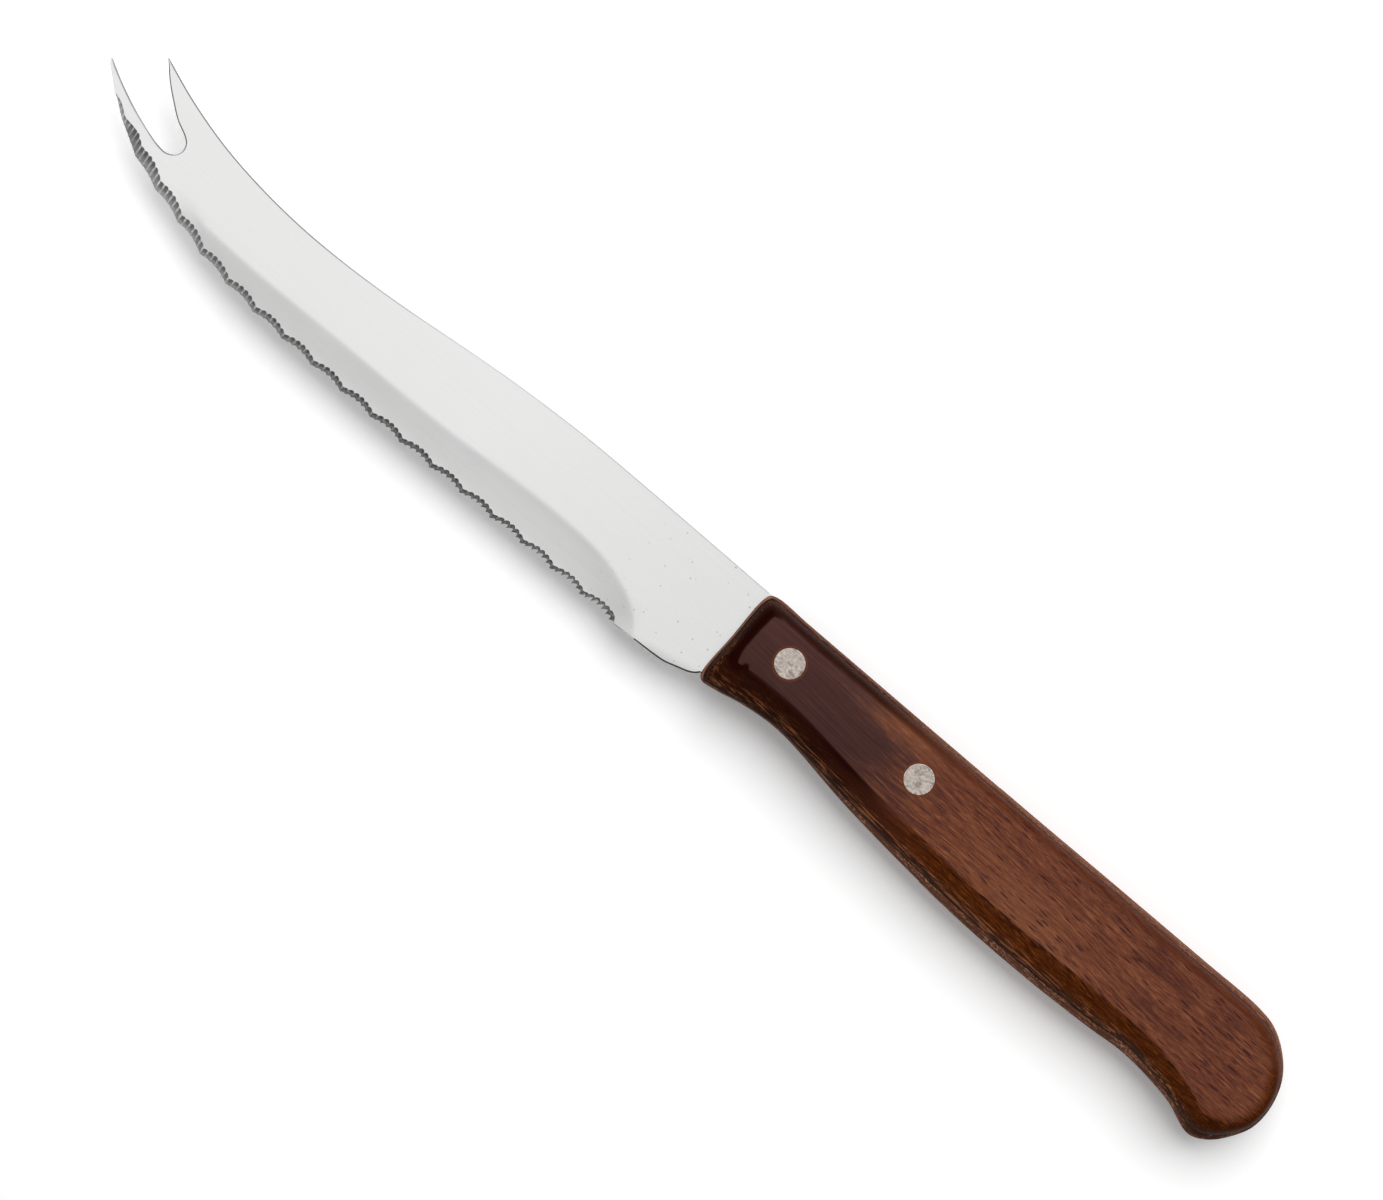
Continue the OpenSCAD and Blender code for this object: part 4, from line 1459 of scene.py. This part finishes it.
        # Painted sheen on the spine side's wall, paler from below the crease down towards its
        # middle
        wall_sheen = rim.rises(1.15, 1.5) * upper * (1.0 - low_butt * 0.6)
        self.lay(wall_sheen * 0.4, colour(152, 98, 82))
        self.lay(wall * layers.rises(0.5, 0.6) * 0.25, colour(134, 88, 62))
        self.lay(wall * layers.rises(0.48, 0.38) * 0.4, colour(48, 25, 18))
        fuzz = wall * clusters * flecks.rises(0.5, 0.6) * (1.0 - upper * 0.6)
        self.lay(fuzz * (0.95 - 0.3 * ahead), colour(182, 130, 104))
        self.lay(wall * flecks.rises(0.46, 0.34) * 0.5, colour(44, 25, 20))
        line = (rim + (self.fibres - 0.5) * 0.14).band(0.93, 1.03, 0.04)
        self.lay(line * (1.0 - upper * ahead) * 0.85, colour(24, 11, 7))
        self.lay(low_butt * rim.band(0.1, 1.45, 0.3) * 0.4, colour(38, 12, 2))
        # The front edge: a dark line with tan flecks and a painted pale highlight before it
        nose = x.rises(2.0, 1.3)
        self.lay(nose * rim.band(0.7, 1.22, 0.06), colour(36, 12, 5))
        tan = nose * rim.band(0.62, 1.05, 0.08) * flecks.rises(0.52, 0.62)
        self.lay(tan * 0.6, colour(120, 74, 42))
        # Painted highlight along the front's outer edge
        self.lay(x.rises(0.9, 0.6) * rim.rises(1.15, 1.35) * 0.9, colour(160, 108, 86))
        return wall

    def lay_edge_shade_spot_and_rings(self, rivets):
        """Painted shade along the flat's front edge and belly, a small dark spot near the front,
        and rings round the rivets. Gives the shade and the spot."""
        x, y, rim = self.x, self.y, self.rim
        # Painted shade: a dark line where the flat turns into the shoulder, at the front and along
        # the belly
        front_edge_shade = rim.band(-0.15, 0.44, 0.22) * x.rises(4.6, 3.4) * y.band(-3.4, 6.8, 0.6)
        belly_edge_shade = rim.band(-0.1, 0.2, 0.16) * self.belly * x.rises(38.0, 26.0) * x.rises(1.6, 2.6)
        plane = self.joined(x, y, 0.0)
        drop = self.vector("DISTANCE", plane, (4.6, -2.5, 0.0)).rises(0.75, 0.3)
        edge_shade_and_spot = (front_edge_shade + belly_edge_shade + drop).clamped() * self.fibres.mapped(0.25, 0.6, 1.0, 0.88)
        self.lay(edge_shade_and_spot, colour(26, 3, 1))
        near_front, near_rear = (
            self.vector("DISTANCE", plane, (*(c / MM for c in place), 0.0)).band(2.3, 2.72, 0.1)
            for place in (rivets.front, rivets.rear)
        )
        self.lay((near_front + near_rear).clamped() * 0.7, colour(104, 52, 22))
        return edge_shade_and_spot


def wood_material(settings, rivets, origin):
    """Lacquered laminated wood: dark front with a painted grey sheen, streaks, dashes, a golden
    band of painted shade and a crease with painted glints.
    """
    wood = Wood(settings, origin)
    dashes, front = wood.lay_face()
    shoulder = wood.lay_shoulder()
    wall = wood.lay_wall()
    edge_shade_and_spot = wood.lay_edge_shade_spot_and_rings(rivets)
    wood.set(
        Base_Color=wood.laid,
        Roughness=(wood.fibres - 0.5) * 0.25 + wall * 0.15 + 0.45,
        Coat_Weight=(1.0 - shoulder) * (1.0 - edge_shade_and_spot) * (front * 0.1 + 0.08),
        Coat_Roughness=0.3,
        Specular_IOR_Level=0.01,
    )
    relief = wood.fibres * 0.5 + wood.streaks * 0.8 - dashes * 0.5 + wall * wood.flecks
    wood.bump(relief, 0.06 * MM, 0.8)
    return wood.material


class KNIFE_OT_blade(bpy.types.Operator):
    """Makes the blade with its fluted edge and its tang"""

    bl_idname = "knife.blade"
    bl_label = "Make Blade"

    def execute(self, context):
        scene = context.scene
        origin = knife_origin()
        material = steel_material(scene.knife_blade, origin)
        mesh = make_blade(
            scene.knife_blade, scene.knife_handle, scene.knife_rivets, origin, material
        )
        put_piece("blade_steel", mesh, material, "steel", "blade")
        return {"FINISHED"}


class KNIFE_OT_handle(bpy.types.Operator):
    """Makes the wooden handle with its slot and its rivet holes"""

    bl_idname = "knife.handle"
    bl_label = "Make Handle"

    def execute(self, context):
        scene = context.scene
        origin = knife_origin()
        material = wood_material(scene.knife_handle, scene.knife_rivets, origin)
        mesh = make_handle(scene.knife_handle, scene.knife_rivets, origin, material)
        put_piece("handle_wood", mesh, material, "handle_wood", "handle")
        return {"FINISHED"}


class KNIFE_OT_rivets(bpy.types.Operator):
    """Makes the two flush rivets"""

    bl_idname = "knife.rivets"
    bl_label = "Make Rivets"

    def execute(self, context):
        scene = context.scene
        origin = knife_origin()
        settings = scene.knife_rivets
        material = rivet_material(settings, origin)
        thickness = scene.knife_handle.thickness
        for node, mesh in make_rivets(settings, thickness, origin, material):
            put_piece(node + "_metal", mesh, material, "rivet_metal", node)
        return {"FINISHED"}


class KNIFE_OT_stage(bpy.types.Operator):
    """Sets up the floor, the lamp, the sky and the camera"""

    bl_idname = "knife.stage"
    bl_label = "Set Up Stage"

    def execute(self, context):
        scene = context.scene
        studio = scene.knife_studio
        add_floor(studio)
        add_light(studio)
        add_camera(scene, studio)
        scene.view_settings.view_transform = "Standard"
        return {"FINISHED"}


def add_floor(studio):
    """A pale floor that the camera sees as white and that keeps the shadow."""
    half_side = 3
    bm = bmesh.new()
    bmesh.ops.create_grid(bm, x_segments=1, y_segments=1, size=half_side)
    mesh = bpy.data.meshes.new("floor")
    bm.to_mesh(mesh)
    bm.free()
    floor = bpy.data.objects.new("floor", mesh)
    bpy.context.scene.collection.objects.link(floor)
    material = bpy.data.materials.new("Floor")
    material.use_nodes = True
    graph = Graph(material.node_tree)
    plain = graph.node("ShaderNodeBsdfDiffuse", {"Color": studio.floor})
    seen = graph.rays("Camera").math("MAXIMUM", graph.rays("Glossy"))
    place = graph.node("ShaderNodeTexCoord").outputs["Object"]
    # The floor brightens far from the knife, and a little round its tip
    far = graph.vector("LENGTH", place).rises(0.18, 0.5)
    by_tip = graph.parts(place)[0].rises(-0.07, -0.115)
    strength = seen * (far + by_tip * 0.12 + studio.glow)
    glow = graph.node("ShaderNodeEmission", {"Color": WHITE, "Strength": strength})
    both = graph.node("ShaderNodeAddShader", {0: plain.outputs[0], 1: glow.outputs[0]})
    graph.node("ShaderNodeOutputMaterial", {"Surface": both.outputs[0]})
    mesh.materials.append(material)


def add_light(studio):
    """Soft light from all round, a bright sky for the steel and a lamp on the spine's side."""
    world = bpy.data.worlds.new("Studio")
    bpy.context.scene.world = world
    world.use_nodes = True
    graph = Graph(world.node_tree)
    _, y, z = graph.parts(graph.node("ShaderNodeTexCoord").outputs["Generated"])
    mirrored, seen = graph.rays("Glossy"), graph.rays("Camera")
    # What the steel mirrors dims towards the edge's side, with a paler patch low there, and
    # towards the floor
    low_patch = (-y).rises(0.36, 0.5) * z.rises(0.34, 0.5)
    tilt = y.mapped(-0.34, 0.06, 0.3, 1.0) + low_patch * 0.35
    sky = tilt * z.mapped(0.2, 0.9, 0.6, 1.0) * studio.overhead
    strength = mirrored * sky + (1.0 - mirrored) * studio.ambient
    strength = seen + (1.0 - seen) * strength
    back = graph.node("ShaderNodeBackground", {"Color": WHITE, "Strength": strength})
    graph.node("ShaderNodeOutputWorld", {"Surface": back.outputs[0]})

    lamp = bpy.data.lights.new("softbox", "AREA")
    lamp.shape = "RECTANGLE"
    lamp.size, lamp.size_y = LAMP_SIZE
    lamp.energy = studio.lamp
    lamp_object = bpy.data.objects.new("softbox", lamp)
    lamp_object.location = LAMP_PLACE
    aim = -Vector(LAMP_PLACE)
    lamp_object.rotation_euler = aim.to_track_quat("-Z", "Y").to_euler()
    lamp_object.visible_glossy = False
    bpy.context.scene.collection.objects.link(lamp_object)


def add_camera(scene, studio):
    """A camera straight above the knife, at the turn of the picture."""
    data = bpy.data.cameras.new("camera")
    data.sensor_width = 36
    data.lens = data.sensor_width * studio.distance / studio.view_width
    data.clip_start, data.clip_end = 0.01, 20
    camera = bpy.data.objects.new("camera", data)
    low, high = CAD_BOX
    height = (low.z + high.z) / 2 + studio.distance
    camera.location = (*studio.middle, height)
    camera.rotation_euler = (0, 0, studio.turn)
    scene.collection.objects.link(camera)
    scene.camera = camera


class KNIFE_PT_parts(bpy.types.Panel):
    """Lists the knife's pieces with their sizes"""

    bl_idname = "KNIFE_PT_parts"
    bl_label = "Cheese Knife"
    bl_space_type = "VIEW_3D"
    bl_region_type = "UI"
    bl_category = "Knife"

    def draw(self, context):
        groups = (
            ("knife_blade", KNIFE_OT_blade),
            ("knife_handle", KNIFE_OT_handle),
            ("knife_rivets", KNIFE_OT_rivets),
            ("knife_studio", KNIFE_OT_stage),
        )
        for name, operator in groups:
            box = self.layout.box()
            settings = getattr(context.scene, name)
            for key in settings.bl_rna.properties.keys():
                if key not in {"rna_type", "name"}:
                    box.prop(settings, key)
            box.operator(operator.bl_idname)


SETTINGS = {
    "knife_blade": KnifeBladeSettings,
    "knife_handle": KnifeHandleSettings,
    "knife_rivets": KnifeRivetSettings,
    "knife_studio": KnifeStudioSettings,
}
OPERATORS = (KNIFE_OT_blade, KNIFE_OT_handle, KNIFE_OT_rivets, KNIFE_OT_stage)


def register():
    for settings in SETTINGS.values():
        bpy.utils.register_class(settings)
    for item in (*OPERATORS, KNIFE_PT_parts):
        bpy.utils.register_class(item)
    for name, settings in SETTINGS.items():
        setattr(bpy.types.Scene, name, bpy.props.PointerProperty(type=settings))


def unregister():
    for name in SETTINGS:
        delattr(bpy.types.Scene, name)
    for item in (KNIFE_PT_parts, *reversed(OPERATORS)):
        bpy.utils.unregister_class(item)
    for settings in reversed(SETTINGS.values()):
        bpy.utils.unregister_class(settings)


def main():
    """Builds the whole scene."""
    register()
    bpy.ops.knife.blade()
    bpy.ops.knife.handle()
    bpy.ops.knife.rivets()
    bpy.ops.knife.stage()


if __name__ == "__main__":
    main()
